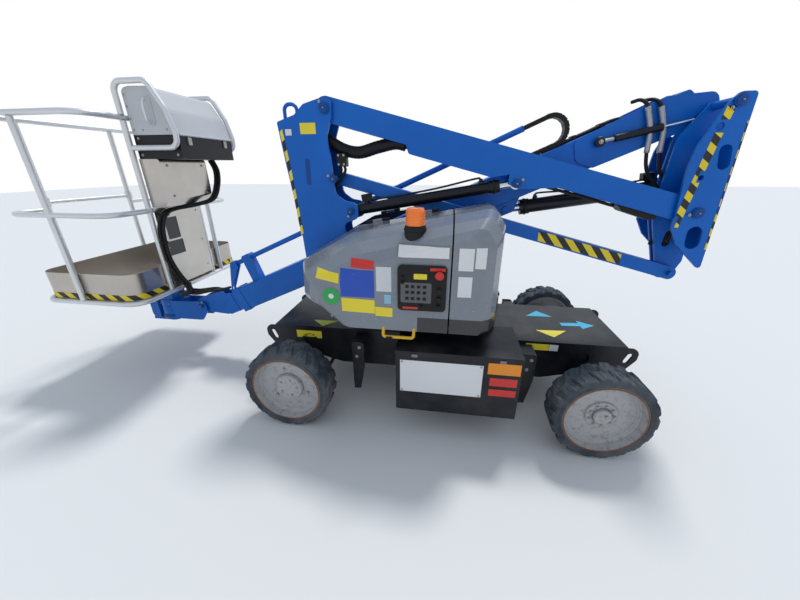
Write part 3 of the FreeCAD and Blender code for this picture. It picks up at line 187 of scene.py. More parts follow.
# %% Dust
DUST, ends_in, ends_out = group("dust", [("Amount", "Float", 0.5), ("Scale", "Float", 6.0)], [("Fac", "Float")])
geometry = DUST.nodes.new("ShaderNodeNewGeometry")
facing = add(DUST, "ShaderNodeSeparateXYZ", Vector=geometry.outputs["Normal"]).outputs["Z"]
height = add(DUST, "ShaderNodeSeparateXYZ", Vector=geometry.outputs["Position"]).outputs["Z"]
low = ramp(DUST, height, 1.2, 0.1)
patches = ramp(DUST, noise(DUST, ends_in.outputs["Scale"], 6, 0.65), 0.35, 0.72)
upward = maths(DUST, "MULTIPLY", ramp(DUST, facing, 0.2, 1.0), 0.6)
cover = maths(DUST, "ADD", upward, maths(DUST, "MULTIPLY", low, 0.7))
spread = maths(DUST, "MULTIPLY", maths(DUST, "MULTIPLY", cover, patches), ends_in.outputs["Amount"], True)
DUST.links.new(spread, ends_out.inputs["Fac"])
print("dust group", len(DUST.nodes), "nodes")

# %% [markdown]
# Enamel wears first on edges. The bevel node compares the rounded normal with the plain one, which differs only
# near an edge, and noise breaks the line into chips.

# %% Worn edges
EDGE, ends_in, ends_out = group("edge_wear", [("Radius", "Float", 0.004), ("Amount", "Float", 0.5)], [("Fac", "Float")])
rounded = add(EDGE, "ShaderNodeBevel", {"samples": 4}, Radius=ends_in.outputs["Radius"]).outputs["Normal"]
plain = EDGE.nodes.new("ShaderNodeNewGeometry").outputs["Normal"]
same = add(EDGE, "ShaderNodeVectorMath", {"operation": "DOT_PRODUCT"}, i0=rounded, i1=plain).outputs["Value"]
edge = ramp(EDGE, same, 0.995, 0.93)
chips = ramp(EDGE, noise(EDGE, 42.0, 5, 0.7), 0.5, 0.66)
EDGE.links.new(maths(EDGE, "MULTIPLY", maths(EDGE, "MULTIPLY", edge, chips), ends_in.outputs["Amount"], True),
               ends_out.inputs["Fac"])


print("edge group", len(EDGE.nodes), "nodes")

# %% [markdown]
# Castings, rubber and sheet are never quite smooth. A weak bump from fine noise breaks the highlight; real relief
# would cost far more faces.

# %% Fine grain
GRAIN, ends_in, ends_out = group("grain", [("Scale", "Float", 300.0), ("Depth", "Float", 0.0004)],
                                 [("Normal", "Vector")])
bump = add(GRAIN, "ShaderNodeBump", Height=noise(GRAIN, ends_in.outputs["Scale"], 3, 0.5),
           Distance=ends_in.outputs["Depth"])
GRAIN.links.new(bump.outputs["Normal"], ends_out.inputs["Normal"])
print("grain group", len(GRAIN.nodes), "nodes")

# %% [markdown]
# Warning bands are printed on film. They could be many small plates, but one film with bands counted along its
# own edges is lighter and keeps its pitch on every piece.

# %% Leaning bands
STRIPES, ends_in, ends_out = group("slanted_stripes", [("Pitch", "Float", 0.12), ("Slant", "Float", 1.0)],
                                   [("Fac", "Float")])
flat = add(STRIPES, "ShaderNodeSeparateXYZ", Vector=add(STRIPES, "ShaderNodeUVMap").outputs["UV"])
leaned = maths(STRIPES, "MULTIPLY", flat.outputs["Y"], ends_in.outputs["Slant"])
slide = maths(STRIPES, "ADD", flat.outputs["X"], leaned)
turns = maths(STRIPES, "FRACT", maths(STRIPES, "DIVIDE", slide, ends_in.outputs["Pitch"]))
STRIPES.links.new(maths(STRIPES, "GREATER_THAN", turns, 0.5), ends_out.inputs["Fac"])
print("groups", [g.name for g in bpy.data.node_groups])


def use(tree, shared, **inputs):
    """The first output of a shared effect, with its amounts set."""
    return add(tree, "ShaderNodeGroup", {"node_tree": shared}, **inputs).outputs[0]

# %% [markdown]
# ## Materials
# All surfaces age in the same ways and differ in amounts. One function therefore starts each material: base
# colour, uneven tone, wear, dust, and grain; a paint function can change the colour before dust falls on it.

# %% One function for every surface
DUST_TONE = (0.30, 0.27, 0.23, 1)
RUST_TONE = (0.17, 0.06, 0.025, 1)
TONE_PATCHES = 3.0
ROUGH_PATCHES = 18.0
ROUGH_SPREAD = 0.12
LACQUER_ROUGH = 0.12


def surface(name, colour, rough, metal=0.0, dust=0.4, wear=0.0, wear_tone=(0.35, 0.34, 0.33, 1), grain=(260, 0.0),
            coat=0.0, tint=0.06, paint=None, specular=0.5):
    """A material of one base colour with uneven tone, dust, worn edges and grain. paint can change the colour."""
    made = bpy.data.materials.new(name)
    made.use_nodes = True
    tree = made.node_tree
    tree.nodes.clear()
    tone = add(tree, "ShaderNodeHueSaturation", Color=(*colour, 1),
               Value=add(tree, "ShaderNodeMapRange", Value=noise(tree, TONE_PATCHES, 5), From_Min=0.3, From_Max=0.7,
                         To_Min=1 - tint, To_Max=1 + tint).outputs["Result"]).outputs["Color"]
    if paint:
        tone = paint(tree, tone)
    rough_out = maths(tree, "ADD", rough, maths(tree, "MULTIPLY", noise(tree, ROUGH_PATCHES, 4), ROUGH_SPREAD))
    if wear:
        worn = use(tree, EDGE, Amount=wear)
        tone = mixed(tree, worn, tone, wear_tone)
        rough_out = maths(tree, "ADD", rough_out, maths(tree, "MULTIPLY", worn, 0.2))
    if dust:
        powder = use(tree, DUST, Amount=dust)
        tone = mixed(tree, powder, tone, DUST_TONE)
        rough_out = maths(tree, "ADD", rough_out, maths(tree, "MULTIPLY", powder, 0.5), True)
    shader = add(tree, "ShaderNodeBsdfPrincipled", Base_Color=tone, Roughness=rough_out, Metallic=metal,
                 Coat_Weight=coat, Coat_Roughness=LACQUER_ROUGH, Specular_IOR_Level=specular)
    if grain[1]:
        tree.links.new(use(tree, GRAIN, Scale=grain[0], Depth=grain[1]), shader.inputs["Normal"])
    out = tree.nodes.new("ShaderNodeOutputMaterial")
    tree.links.new(shader.outputs[0], out.inputs["Surface"])
    return made


print("surface recipe ready")

# %% [markdown]
# Four paints differ from plain enamel: the bands, the scuffed blue, the rust of the rims and the rear covers'
# black skirt. Each is a function of the colour, so it can be handed to any surface.

# %% Special paints
def place_of(tree):
    """Where the shaded point is, as the sockets X, Y and Z."""
    position = tree.nodes.new("ShaderNodeNewGeometry").outputs["Position"]
    return add(tree, "ShaderNodeSeparateXYZ", Vector=position).outputs


def striped(pitch, slant):
    """Black and yellow bands that lean, measured along the piece's own edges."""
    def paint(tree, tone):
        return mixed(tree, use(tree, STRIPES, Pitch=pitch, Slant=slant), tone, (0.012, 0.012, 0.013, 1))
    return paint


def scuffs(tree, tone):
    """Long thin scratches and faded patches of old enamel."""
    stretch = add(tree, "ShaderNodeMapping", Vector=add(tree, "ShaderNodeTexCoord").outputs["Object"],
                  Scale=(9, 60, 60)).outputs["Vector"]
    lines = ramp(tree, noise(tree, 1.0, 8, 0.7, stretch), 0.66, 0.74)
    tone = mixed(tree, maths(tree, "MULTIPLY", lines, 0.35), tone, (0.06, 0.20, 0.52, 1))
    faded = ramp(tree, noise(tree, 1.6, 3), 0.45, 0.8)
    return mixed(tree, maths(tree, "MULTIPLY", faded, 0.25), tone, (0.004, 0.19, 0.62, 1))


def rusty_edge(tree, tone):
    """Rust that starts at the rim's outer edge and in the dish's corners."""
    flecks = ramp(tree, noise(tree, 30.0, 8, 0.7), 0.50, 0.68)
    return mixed(tree, maths(tree, "MULTIPLY", flecks, 0.55), tone, RUST_TONE)


SKIRT_Z = 0.810
COVER_SEAM_X = -0.124


def dark_skirt(tree, tone):
    """The fixed rear covers are black below a line."""
    spot = place_of(tree)
    under_line = ramp(tree, spot["Z"], SKIRT_Z + 0.002, SKIRT_Z - 0.002)
    below = maths(tree, "MULTIPLY", under_line, ramp(tree, spot["X"], COVER_SEAM_X - 0.001, COVER_SEAM_X + 0.001))
    return mixed(tree, below, tone, (0.012, 0.012, 0.014, 1))


print("paints ready")

# %% [markdown]
# The arms are blue enamel and the frame is black. The hoods are moulded grey under clear lacquer, which the
# shader's coat gives. The darks reflect little, or the pale studio would turn them grey.

# %% Enamels and covers
RUST_WEAR = {"wear": 0.9, "wear_tone": RUST_TONE}
LOOKS = {
    "blue": surface("blue_enamel", (0.0015, 0.118, 0.50), 0.30, dust=0.06, wear=0.35,
                    wear_tone=(0.03, 0.08, 0.18, 1), grain=(420, 0.00012), specular=0.28, paint=scuffs),
    # The darker blue below is paint on the pin caps and the rotator ring, and painted shade where it marks the riser's
    # recess.
    "blue_dark_and_recess_shade": surface("blue_dark_and_painted_recess_shade", (0.001, 0.060, 0.27), 0.34, dust=0.08, wear=0.3,
                         wear_tone=(0.05, 0.07, 0.11, 1), specular=0.3),
    "black": surface("black_enamel", (0.0045, 0.006, 0.010), 0.30, dust=0.09, wear=0.4,
                     wear_tone=(0.06, 0.06, 0.065, 1), grain=(380, 0.0002), specular=0.35),
    "cover": surface("grey_cover", (0.190, 0.215, 0.250), 0.20, dust=0.07, grain=(500, 0.00010), coat=0.5,
                     paint=dark_skirt),
    "lid": surface("grey_lid", (0.52, 0.53, 0.55), 0.32, dust=0.12, grain=(500, 0.00012)),
}
print("enamels", len(LOOKS))

# %% [markdown]
# The platform's tubes are aluminium, its floor brushed sheet, the rods hard chrome. Metals take their colour from
# what they reflect, so roughness tells them apart more than colour does.

# %% Bare metals
LOOKS.update({
    "aluminium": surface("aluminium_tube", (0.72, 0.73, 0.74), 0.32, metal=0.7, dust=0.08, grain=(220, 0.0003)),
    "stainless": surface("stainless_sheet", (0.56, 0.53, 0.49), 0.16, metal=0.95, dust=0.0, tint=0.10,
                         grain=(30, 0.0002)),
    "tray": surface("brushed_tray", (0.52, 0.48, 0.43), 0.24, metal=0.9, dust=0.05, tint=0.10, grain=(40, 0.0002)),
    "chrome": surface("chrome_rod", (0.75, 0.76, 0.78), 0.08, metal=1.0, dust=0.0),
    "steel": surface("bare_steel", (0.23, 0.23, 0.23), 0.42, metal=0.8, dust=0.25, grain=(200, 0.0004)),
})
print("with metals", len(LOOKS))

# %% [markdown]
# Hoses shine a little and tyres hardly at all. The tyres are dusty blue-black, and the rims rust from chips in
# their grey paint.

# %% Rubber, plastic and rims
LOOKS.update({
    "plastic": surface("black_plastic", (0.006, 0.006, 0.007), 0.38, dust=0.08, grain=(600, 0.0002), specular=0.3),
    "rubber": surface("hose_rubber", (0.007, 0.007, 0.008), 0.45, dust=0.10, grain=(300, 0.0004), specular=0.3),
    "sleeve": surface("hose_sleeve", (0.40, 0.41, 0.43), 0.35, metal=0.6, dust=0.1, grain=(150, 0.0006)),
    "tyre": surface("tyre_rubber", (0.050, 0.064, 0.084), 0.85, dust=0.38, tint=0.3, grain=(120, 0.0012), specular=0.2),
    "rim": surface("rim_paint", (0.42, 0.43, 0.44), 0.45, dust=0.3, grain=(300, 0.0003), paint=rusty_edge, **RUST_WEAR),
    "rust": surface("rim_rust", (0.20, 0.09, 0.045), 0.8, dust=0.3, tint=0.25, grain=(90, 0.0008)),
})
print("with rubber", len(LOOKS))

# %% [markdown]
# Small parts catch the eye: the beacon's amber lens, yellow handles, zinc bolts and the dark windows of the
# control cabinet. The lens is glossy and solid in colour, because its bulb is never seen.

# %% Lamp, handle, bolts and bands
LOOKS.update({
    "amber": surface("amber_lens", (1.0, 0.20, 0.004), 0.14, dust=0.05, coat=0.6),
    "handle": surface("yellow_plastic", (0.78, 0.45, 0.02), 0.4, dust=0.2),
    "zinc": surface("zinc_bolts", (0.42, 0.41, 0.39), 0.42, metal=0.85, dust=0.2),
    "dark_glass": surface("dark_window", (0.010, 0.011, 0.013), 0.12, dust=0.05, coat=0.3),
    "stripes": surface("hazard_bands", (0.80, 0.62, 0.015), 0.42, dust=0.2, paint=striped(0.115, 1.0)),
    "stripes_up": surface("hazard_bands_upright", (0.80, 0.62, 0.015), 0.42, dust=0.15, paint=striped(0.13, 1.6)),
})
print("with small parts", len(LOOKS))

# %% [markdown]
# Every label on the machine is bare film in its own colour. A dictionary of colours makes them all alike, which
# is how a printer's films are.

# %% Printed films
FILMS = {
    "white": (0.72, 0.73, 0.74), "yellow": (0.80, 0.66, 0.03), "red": (0.62, 0.025, 0.02),
    "blue_film": (0.01, 0.07, 0.45), "pale": (0.62, 0.64, 0.66), "cyan_pale": (0.25, 0.50, 0.62),
    "green": (0.02, 0.36, 0.08), "cyan": (0.02, 0.42, 0.66), "lime": (0.58, 0.66, 0.03),
    "orange": (0.80, 0.27, 0.01), "grey_print": (0.10, 0.105, 0.11),
    "black_film": (0.012, 0.012, 0.013),
}
LOOKS.update({name: surface(f"film_{name}", colour, 0.38, dust=0.08, tint=0.04) for name, colour in FILMS.items()})
print("with films", len(LOOKS))

# %% [markdown]
# The record names a slot for each solid. A table turns slots into looks, and the console's lid and the tray get
# their own. Flat shading keeps the solids' crisp edges.

# %% Paint the solids
SLOT_LOOK = {
    "blue_paint": "blue", "black_paint": "black", "grey_cover": "cover", "aluminium_tube": "aluminium",
    "stainless": "stainless", "chrome_rod": "chrome", "bare_steel": "steel", "black_plastic": "plastic",
    "amber_lens": "amber", "yellow_handle": "handle", "tyre_rubber": "tyre", "rim_paint": "rim",
}
OWN_LOOK = {"console_lid": "lid", "platform_floor_tray": "tray"}
slots = {entry["node"]: entry["material_slot"] for entry in frame["record"]["subparts"]}
for name, item in NODES.items():
    look = OWN_LOOK.get(name, SLOT_LOOK[slots[name]])
    item.data.materials.clear()
    item.data.materials.append(LOOKS[look])
    for face in item.data.polygons:
        face.use_smooth = False
print("materials", len(LOOKS))

# %% [markdown]
# ## Builders
# Each added piece must ride on the body that carries it, or it would stay behind when the lift moves. One
# function makes the object, paints it and hands it to a body given by name; a piece given two bodies stays fixed in
# place.

# %% Stand a piece on the machine
def stand(name, mesh, look, body, matrix=None, smooth=False):
    """Makes an object of a mesh, gives it a material and lets it ride on a body given by name; any other body leaves it
    fixed in place.
    """
    made = bpy.data.objects.new(name, mesh)
    bpy.context.scene.collection.objects.link(made)
    mesh.materials.append(LOOKS[look])
    for face in mesh.polygons:
        face.use_smooth = smooth
    if matrix is not None:
        made.matrix_world = matrix
    if isinstance(body, str):
        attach(made, body)
    else:
        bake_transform(made)
    return made


def mesh_of(name, points, faces, flat=None):
    """A mesh of points and faces; flat gives each point its place in metres for the striped film."""
    mesh = bpy.data.meshes.new(name)
    mesh.from_pydata([tuple(p) for p in points], [], faces)
    if flat is not None:
        layer = mesh.uv_layers.new(name="flat")
        for loop in mesh.loops:
            layer.data[loop.index].uv = flat[loop.vertex_index]
    mesh.update()
    return mesh


def axes(origin, u, v):
    """A placement whose X is u and whose Y is the part of v square to it."""
    u = Vector(u).normalized()
    w = u.cross(Vector(v)).normalized()
    return Matrix.Translation(origin) @ Matrix((u, w.cross(u), w)).transposed().to_4x4()


NEAR_FACE = ((1, 0, 0), (0, 0, 1))
print("pieces can stand")

# %% [markdown]
# Brackets, keys and blocks are flat pieces with softened corners. A modifier could bevel them; points computed
# once give exact sizes and few faces.

# %% Plates with rounded corners
def rounded(points, corner, steps=4):
    """A closed outline with its corners rounded."""
    spots = [Vector((p[0], p[1], 0)) for p in points]
    out = []
    for k, here in enumerate(spots):
        back = spots[k - 1] - here
        ahead = spots[(k + 1) % len(spots)] - here
        reach = min(corner, back.length * 0.49, ahead.length * 0.49)
        a, b = here + back.normalized() * reach, here + ahead.normalized() * reach
        for i in range(steps + 1):
            t = i / steps
            out.append((1 - t) ** 2 * a + 2 * t * (1 - t) * here + t * t * b)
    return out


def plate(name, look, body, points, thick, origin=(0, 0, 0), face=NEAR_FACE, corner=0.004, bevel=0.0):
    """A flat plate with rounded corners, standing out of its plane, with a bevelled outer edge."""
    outline = rounded(points, corner)
    middle = sum(outline, Vector()) / len(outline)
    rings = [(0.0, 0.0), (thick - bevel, 0.0)]
    if bevel:
        rings.append((thick, bevel))
    spots = []
    for height, draw in rings:
        for p in outline:
            way = (middle - p).normalized() * draw
            spots.append((p.x + way.x, p.y + way.y, height))
    n = len(outline)
    faces = [tuple(reversed(range(n)))]
    for r in range(len(rings) - 1):
        faces += [(r * n + k, r * n + (k + 1) % n, (r + 1) * n + (k + 1) % n, (r + 1) * n + k) for k in range(n)]
    faces.append(tuple(range((len(rings) - 1) * n, len(rings) * n)))
    flat = [(p[0], p[1]) for p in spots]
    return stand(name, mesh_of(name, spots, faces, flat), look, body, axes(origin, *face))


def rect(x0, z0, x1, z1):
    """The four corners of a plain plate."""
    return [(x0, z0), (x1, z0), (x1, z1), (x0, z1)]


print("plates ready")

# %% [markdown]
# Caps, rings, knobs and rods are turned on a lathe. A profile of radii and heights, swept round an axis, makes
# them as the real tool does.

# %% Turned pieces
def lathe(name, look, body, profile, origin, axis, count=32, smooth=False):
    """A turned piece: profile points are (radius, height) along the axis; a radius of 0 closes it."""
    spots, rings, faces = [], [], []
    for r, h in profile:
        first = len(spots)
        angles = [2 * math.pi * k / count for k in range(count)] if r else [0]
        spots += [(r * math.cos(a), r * math.sin(a), h) for a in angles]
        rings.append([first + (k if r else 0) for k in range(count)])
    for low_ring, high_ring in zip(rings, rings[1:]):
        for k in range(count):
            n = (k + 1) % count
            corners = list(dict.fromkeys((low_ring[k], low_ring[n], high_ring[n], high_ring[k])))
            if len(corners) > 2:
                faces.append(corners)
    turn = Vector((0, 0, 1)).rotation_difference(Vector(axis)).to_matrix().to_4x4()
    return stand(name, mesh_of(name, spots, faces), look, body, Matrix.Translation(origin) @ turn, smooth)


print("lathe ready")

# %% [markdown]
# A bolt is a hexagon head on a washer. Many heads are joined in one mesh, because a bolt circle is one thing to
# the eye and one piece is quicker to draw.

# %% Bolts
WASHER = (16, ((1.45, 0), (1.45, 0.22), (1.3, 0.3)))
HEAD = (6, ((1.0, 0.3), (1.0, 0.95), (0.8, 1.15)))


def bolts(name, body, spots, axis, radius=0.009, look="zinc"):
    """Hexagon heads on washers, all in one piece."""
    points, faces = [], []
    turn = Vector((0, 0, 1)).rotation_difference(Vector(axis)).to_matrix()
    for place in spots:
        for sides, rings in (WASHER, HEAD):
            start = len(points)
            for r, h in rings:
                for k in range(sides):
                    a = 2 * math.pi * k / sides
                    spot = turn @ Vector((r * radius * math.cos(a), r * radius * math.sin(a), h * radius))
                    points.append(Vector(place) + spot)
            for i in range(len(rings) - 1):
                for k in range(sides):
                    a, b = start + i * sides + k, start + i * sides + (k + 1) % sides
                    faces.append((a, b, b + sides, a + sides))
            faces.append(tuple(range(start + 2 * sides, start + 3 * sides)))
    return stand(name, mesh_of(name, points, faces), look, body)


print("bolts ready")

# %% [markdown]
# Hoses hang between clamps in easy curves. A curve object would need converting, so a smooth line is drawn
# through the clamps' places and a ring of points is carried along it.

# %% Hoses
def smooth_path(points, steps=8):
    """A flowing line through points."""
    pts = [Vector(p) for p in points]
    pts = [pts[0] * 2 - pts[1], *pts, pts[-1] * 2 - pts[-2]]
    out = []
    for k in range(1, len(pts) - 2):
        a, b, c, d = pts[k - 1:k + 3]
        for i in range(steps):
            t = i / steps
            doubled = 2 * b + (c - a) * t + (2 * a - 5 * b + 4 * c - d) * t * t + (3 * b - a - 3 * c + d) * t ** 3
            out.append(0.5 * doubled)
    out.append(pts[-2])
    return out


def hose(name, look, body, points, radius, sides=10, steps=8, ribs=0.0):
    """A held hose or tube along a flowing line; ribs makes it a corrugated sleeve."""
    path = smooth_path(points, steps)
    spots, faces = [], []
    side = None
    for k, here in enumerate(path):
        way = (path[min(k + 1, len(path) - 1)] - path[max(k - 1, 0)]).normalized()
        if side is None:
            side = way.orthogonal().normalized()
        side = (side - way * side.dot(way)).normalized()
        other = way.cross(side)
        r = radius * (1 + (ribs if k % 2 else 0))
        spots += [here + (side * math.cos(2 * math.pi * i / sides) + other * math.sin(2 * math.pi * i / sides)) * r
                  for i in range(sides)]
    for k in range(len(path) - 1):
        faces += [(k * sides + i, k * sides + (i + 1) % sides, (k + 1) * sides + (i + 1) % sides, (k + 1) * sides + i)
                  for i in range(sides)]
    faces += [tuple(reversed(range(sides))), tuple(range((len(path) - 1) * sides, len(path) * sides))]
    return stand(name, mesh_of(name, spots, faces), look, body, None, True)


print("hoses ready")

# %% [markdown]
# The hoods are curved, and a flat label would cut into them. Each film's grid is thrown at the panel by rays, and
# lands a hair above the surface.

# %% Films cast onto panels
def targets(*names):
    """A tree of the named solids' faces in the row frame, for casting."""
    spots, faces = [], []
    for name in names:
        item = NODES[name]
        base = len(spots)
        spots += [item.matrix_world @ v.co for v in item.data.vertices]
        faces += [tuple(base + i for i in p.vertices) for p in item.data.polygons]
    return BVHTree.FromPolygons(spots, faces)


FILM_LIFT = 0.0012
BACK_OFF, RAY_LENGTH = 0.6, 3.0
LONGEST_STEP = 3.2


def cast(name, look, body, corners, way, tree, lift=FILM_LIFT, cells=(10, 10)):
    """A label of four corners cast onto a surface; its own X and Y, in metres, run along its lower and left edges."""
    a, b, c, d = (Vector(p) for p in corners)
    wide, tall = (b - a).length, (d - a).length
    nu, nv = cells
    points, flat, found = [], [], {}
    for j in range(nv + 1):
        for i in range(nu + 1):
            s, t = i / nu, j / nv
            start = a * (1 - s) * (1 - t) + b * s * (1 - t) + c * s * t + d * (1 - s) * t
            hit = tree.ray_cast(start - Vector(way) * BACK_OFF, Vector(way), RAY_LENGTH)
            if hit[0] is not None:
                outward = hit[1] if hit[1].dot(Vector(way)) < 0 else -hit[1]
                found[i, j] = len(points)
                points.append(hit[0] + outward * lift)
                flat.append((s * wide, t * tall))
    faces = []
    for j in range(nv):
        for i in range(nu):
            ring = [(i, j), (i + 1, j), (i + 1, j + 1), (i, j + 1)]
            ids = [found.get(key) for key in ring]
            if None in ids:
                continue
            longest = max((points[p] - points[q]).length for p in ids for q in ids)
            if longest < LONGEST_STEP * max(wide / nu, tall / nv):
                faces.append(tuple(ids))
    return stand(name, mesh_of(name, points, faces, flat), look, body, None, True)


OUTSIDE_Y = -1.2
ABOVE_DECK = 0.9


def near_label(name, look, body, box, tree, cells=(10, 10), slant=0.0, lift=FILM_LIFT):
    """An upright label seen from the near side: box is x0, z0, x1, z1."""
    x0, z0, x1, z1 = box
    rise = (x1 - x0) * slant
    corners = ((x0, OUTSIDE_Y, z0), (x1, OUTSIDE_Y, z0 + rise), (x1, OUTSIDE_Y, z1 + rise), (x0, OUTSIDE_Y, z1))
    return cast(name, look, body, corners, (0, 1, 0), tree, lift, cells)


def deck_label(name, look, body, corners, tree, cells=(6, 6)):
    """A mark dropped onto the deck from above: corners are pairs of x and y."""
    return cast(name, look, body, [(x, y, ABOVE_DECK) for x, y in corners], (0, 0, -1), tree, FILM_LIFT, cells)


print("builders ready")

# %% [markdown]
# ## Wheels
# The solid tyre has two rows of leaning lugs, one row staggered against the other, and a sipe in each lug.
# Cutting lugs one by one is slow; one turned section, whose radius drops between the lugs, makes the whole tread.

# %% Tyres
LUGS, STEPS = 18, 16
HALF_TREAD = 0.09
LUG_LEAN, LUG_SHARE, LUG_FLANK, LUG_DEPTH = 0.35, 0.66, 0.04, 0.0118
SIPE_FROM, SIPE_TO, SIPE_START, SIPE_DEPTH = 0.30, 0.36, 0.03, 0.004


def tyre(name, node, body, centre, side):
    """A solid tyre: across its width the lugs lean, and each half is staggered against the other."""
    count = LUGS * STEPS
    section = [(0.2258, 0.088), (0.236, 0.0895), (0.240, 0.0865), (0.247, 0.0865), (0.251, 0.0895), (0.262, 0.0885)]
    tread = [(0.0845, 0.008), (0.0770, 0.0015), (0.060, 0.0), (0.034, 0.0), (0.008, 0.0)]
    rows = []
    for half in (1, -1):
        part = [(r, z, None) for r, z in section] + [(WHEEL_R, z, drop) for z, drop in tread]
        part = [(r, half * z, drop, half) for r, z, drop in part]
        rows += part if half > 0 else list(reversed(part))
    spots, faces = [], []
    for k in range(count):
        angle = 2 * math.pi * k / count
        for r, z, drop, half in rows:
            if drop is not None:
                lean = abs(z) / HALF_TREAD * LUG_LEAN
                share = (k / STEPS + (0.0 if half > 0 else 0.5) + lean) % 1.0
                front = min(1.0, max(0.0, (share - LUG_FLANK / 2) / LUG_FLANK))
                back = min(1.0, max(0.0, (LUG_SHARE - share) / LUG_FLANK))
                inside = front * back
                sipe = SIPE_DEPTH if SIPE_FROM < share < SIPE_TO and abs(z) > SIPE_START else 0.0
                r = WHEEL_R - drop - (1 - inside) * LUG_DEPTH - sipe * inside
            spots.append((r * math.cos(angle), r * math.sin(angle), z))
    n = len(rows)
    for k in range(count):
        for i in range(n):
            a, b = k * n + i, ((k + 1) % count) * n + i
            c, d = ((k + 1) % count) * n + (i + 1) % n, k * n + (i + 1) % n
            faces.append((a, b, c, d))
    matrix = Matrix.Translation(centre) @ Matrix.Rotation(math.radians(90 if side < 0 else -90), 4, "X")
    made = stand(name, mesh_of(name, spots, faces), "tyre", body, matrix)
    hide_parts(node)


print("tyres can be built")

# %% [markdown]
# A pressed rim has a rolled lip and a weld ring, and its hub carries bolts. Front hubs stand proud on the knuckle
# and rear hubs on the drive, so each axle has its own rings.

# %% Rims, hubs and wheel bolts
RIM_LIP = [(0.2135, 0.0), (0.2195, 0.002), (0.2235, 0.0), (0.2235, -0.004)]
WELD_RING = [(0.186, 0.0), (0.190, 0.004), (0.196, 0.006), (0.200, 0.003)]
FRONT_HUB = [(0.076, 0), (0.079, 0.004), (0.085, 0.004), (0.088, 0), (0.092, -0.010), (0.092, -0.018)]
REAR_HUB = [(0.088, 0.0), (0.088, 0.010), (0.082, 0.013), (0.052, 0.013), (0.049, 0.0)]
DRAIN_PLUG = [(0.0, 0.0), (0.011, 0.0), (0.011, 0.008), (0.007, 0.011), (0.0, 0.011)]
DISH_Y, LIP_Y = 0.028, 0.0875


def round_axle(centre, radius, angles):
    """Spots on a circle about the axle, in the wheel's own plane."""
    return [centre + Vector((math.cos(a), 0, math.sin(a))) * radius for a in angles]


for axle, x in (("front", -HALF_BASE), ("rear", HALF_BASE)):
    for which, side in (("near", -1), ("far", 1)):
        body = f"wheel_{axle}_{which}"
        tyre(f"tread_{axle}_{which}", f"tyre_{axle}_{which}", body, (x, side * WHEEL_Y, WHEEL_R), side)
        out = Vector((0, side, 0))
        dish = side * (WHEEL_Y + DISH_Y)
        cap = 0.022 if axle == "front" else 0.034
        place = Vector((x, dish, WHEEL_R))
        lathe(f"rim_lip_{axle}_{which}", "rust", body, RIM_LIP, (x, side * (WHEEL_Y + LIP_Y), WHEEL_R), out, 64, True)
        lathe(f"weld_ring_{axle}_{which}", "rim", body, WELD_RING, place + out * 0.001, out, 64, True)
        if axle == "front":
            lathe(f"hub_ring_{which}", "rim", body, FRONT_HUB, place + out * cap, out, 48, True)
            ring = round_axle(place, 0.125, [math.radians(100 + 120 * k) for k in range(3)])
            bolts(f"dish_bolts_{which}", body, ring, out, 0.009)
            ring = round_axle(place + out * cap, 0.058, [2 * math.pi * k / 5 for k in range(5)])
            bolts(f"hub_bolts_{which}", body, ring, out, 0.006)
        else:
            lathe(f"hub_ring_{which}", "rim", body, REAR_HUB, place, out, 48, True)
            ring = round_axle(place + out * 0.013, 0.068, [2 * math.pi * k / 9 for k in range(9)])
            bolts(f"hub_bolts_{which}", body, ring, out, 0.008)
            lathe(f"hub_plug_{which}", "zinc", body, DRAIN_PLUG, place + out * cap + Vector((0.016, 0, 0.012)), out, 6)
print("wheels dressed")

# %% [markdown]
# ## Labels, stripes and the control panel
# The hood is covered in films, which stay bare here. They are cast on its curves from the near side, and a small
# slope follows the hood's own lines.

# %% Films on the near hood
COVERS = targets("cover_front_near", "cover_rear_near")
near_labels = (
    ("framed_plate_rim", "steel", (-0.238, 1.144, 0.042, 1.218), 0.0, "cover_near"),
    ("label_yellow_long", "yellow", (-0.712, 1.004, -0.566, 1.056), -0.10, "cover_near"),
    ("label_red", "red", (-0.496, 1.082, -0.362, 1.130), -0.03, "cover_near"),
    ("label_blue", "blue_film", (-0.558, 0.914, -0.364, 1.072), 0.0, "cover_near"),
    ("label_list", "pale", (-0.352, 0.955, -0.268, 1.096), 0.0, "cover_near"),
    ("label_cyan", "cyan_pale", (-0.309, 0.884, -0.271, 0.938), 0.0, "cover_near"),
    ("label_yellow_low", "yellow", (-0.556, 0.824, -0.364, 0.906), -0.03, "cover_near"),
    ("label_yellow_foot", "yellow", (-0.362, 0.806, -0.264, 0.862), -0.03, "cover_near"),
    ("label_code_one", "white", (0.084, 1.090, 0.160, 1.208), 0.0, "turntable"),
    ("label_code_two", "white", (0.168, 1.104, 0.222, 1.212), 0.0, "turntable"),
    ("label_code_three", "white", (0.088, 0.944, 0.160, 1.058), 0.0, "turntable"),
)
for name, look, box, slant, body in near_labels:
    near_label(name, look, body, box, COVERS, slant=slant)
DISC_R = 0.051
disc = [(DISC_R * math.cos(a), DISC_R * math.sin(a)) for a in (2 * math.pi * k / 24 for k in range(24))]
for name, look, size, lift in (("label_green", "green", 1.0, 0.0), ("label_green_heart", "white", 0.30, 0.0008)):
    plate(name, look, "cover_near", [(p[0] * size, p[1] * size) for p in disc], 0.001, (-0.615, -0.6515 - lift, 0.912),
          corner=0.001)
near_label("framed_plate", "white", "cover_near", (-0.230, 1.152, 0.034, 1.210), COVERS, lift=0.0022)
print("films on the hood", len(near_labels))

# %% [markdown]
# The ground controls are a flat panel with keys, knobs and a stop button. Keys are plates and knobs are turned,
# each a few millimetres proud, so that they catch light.

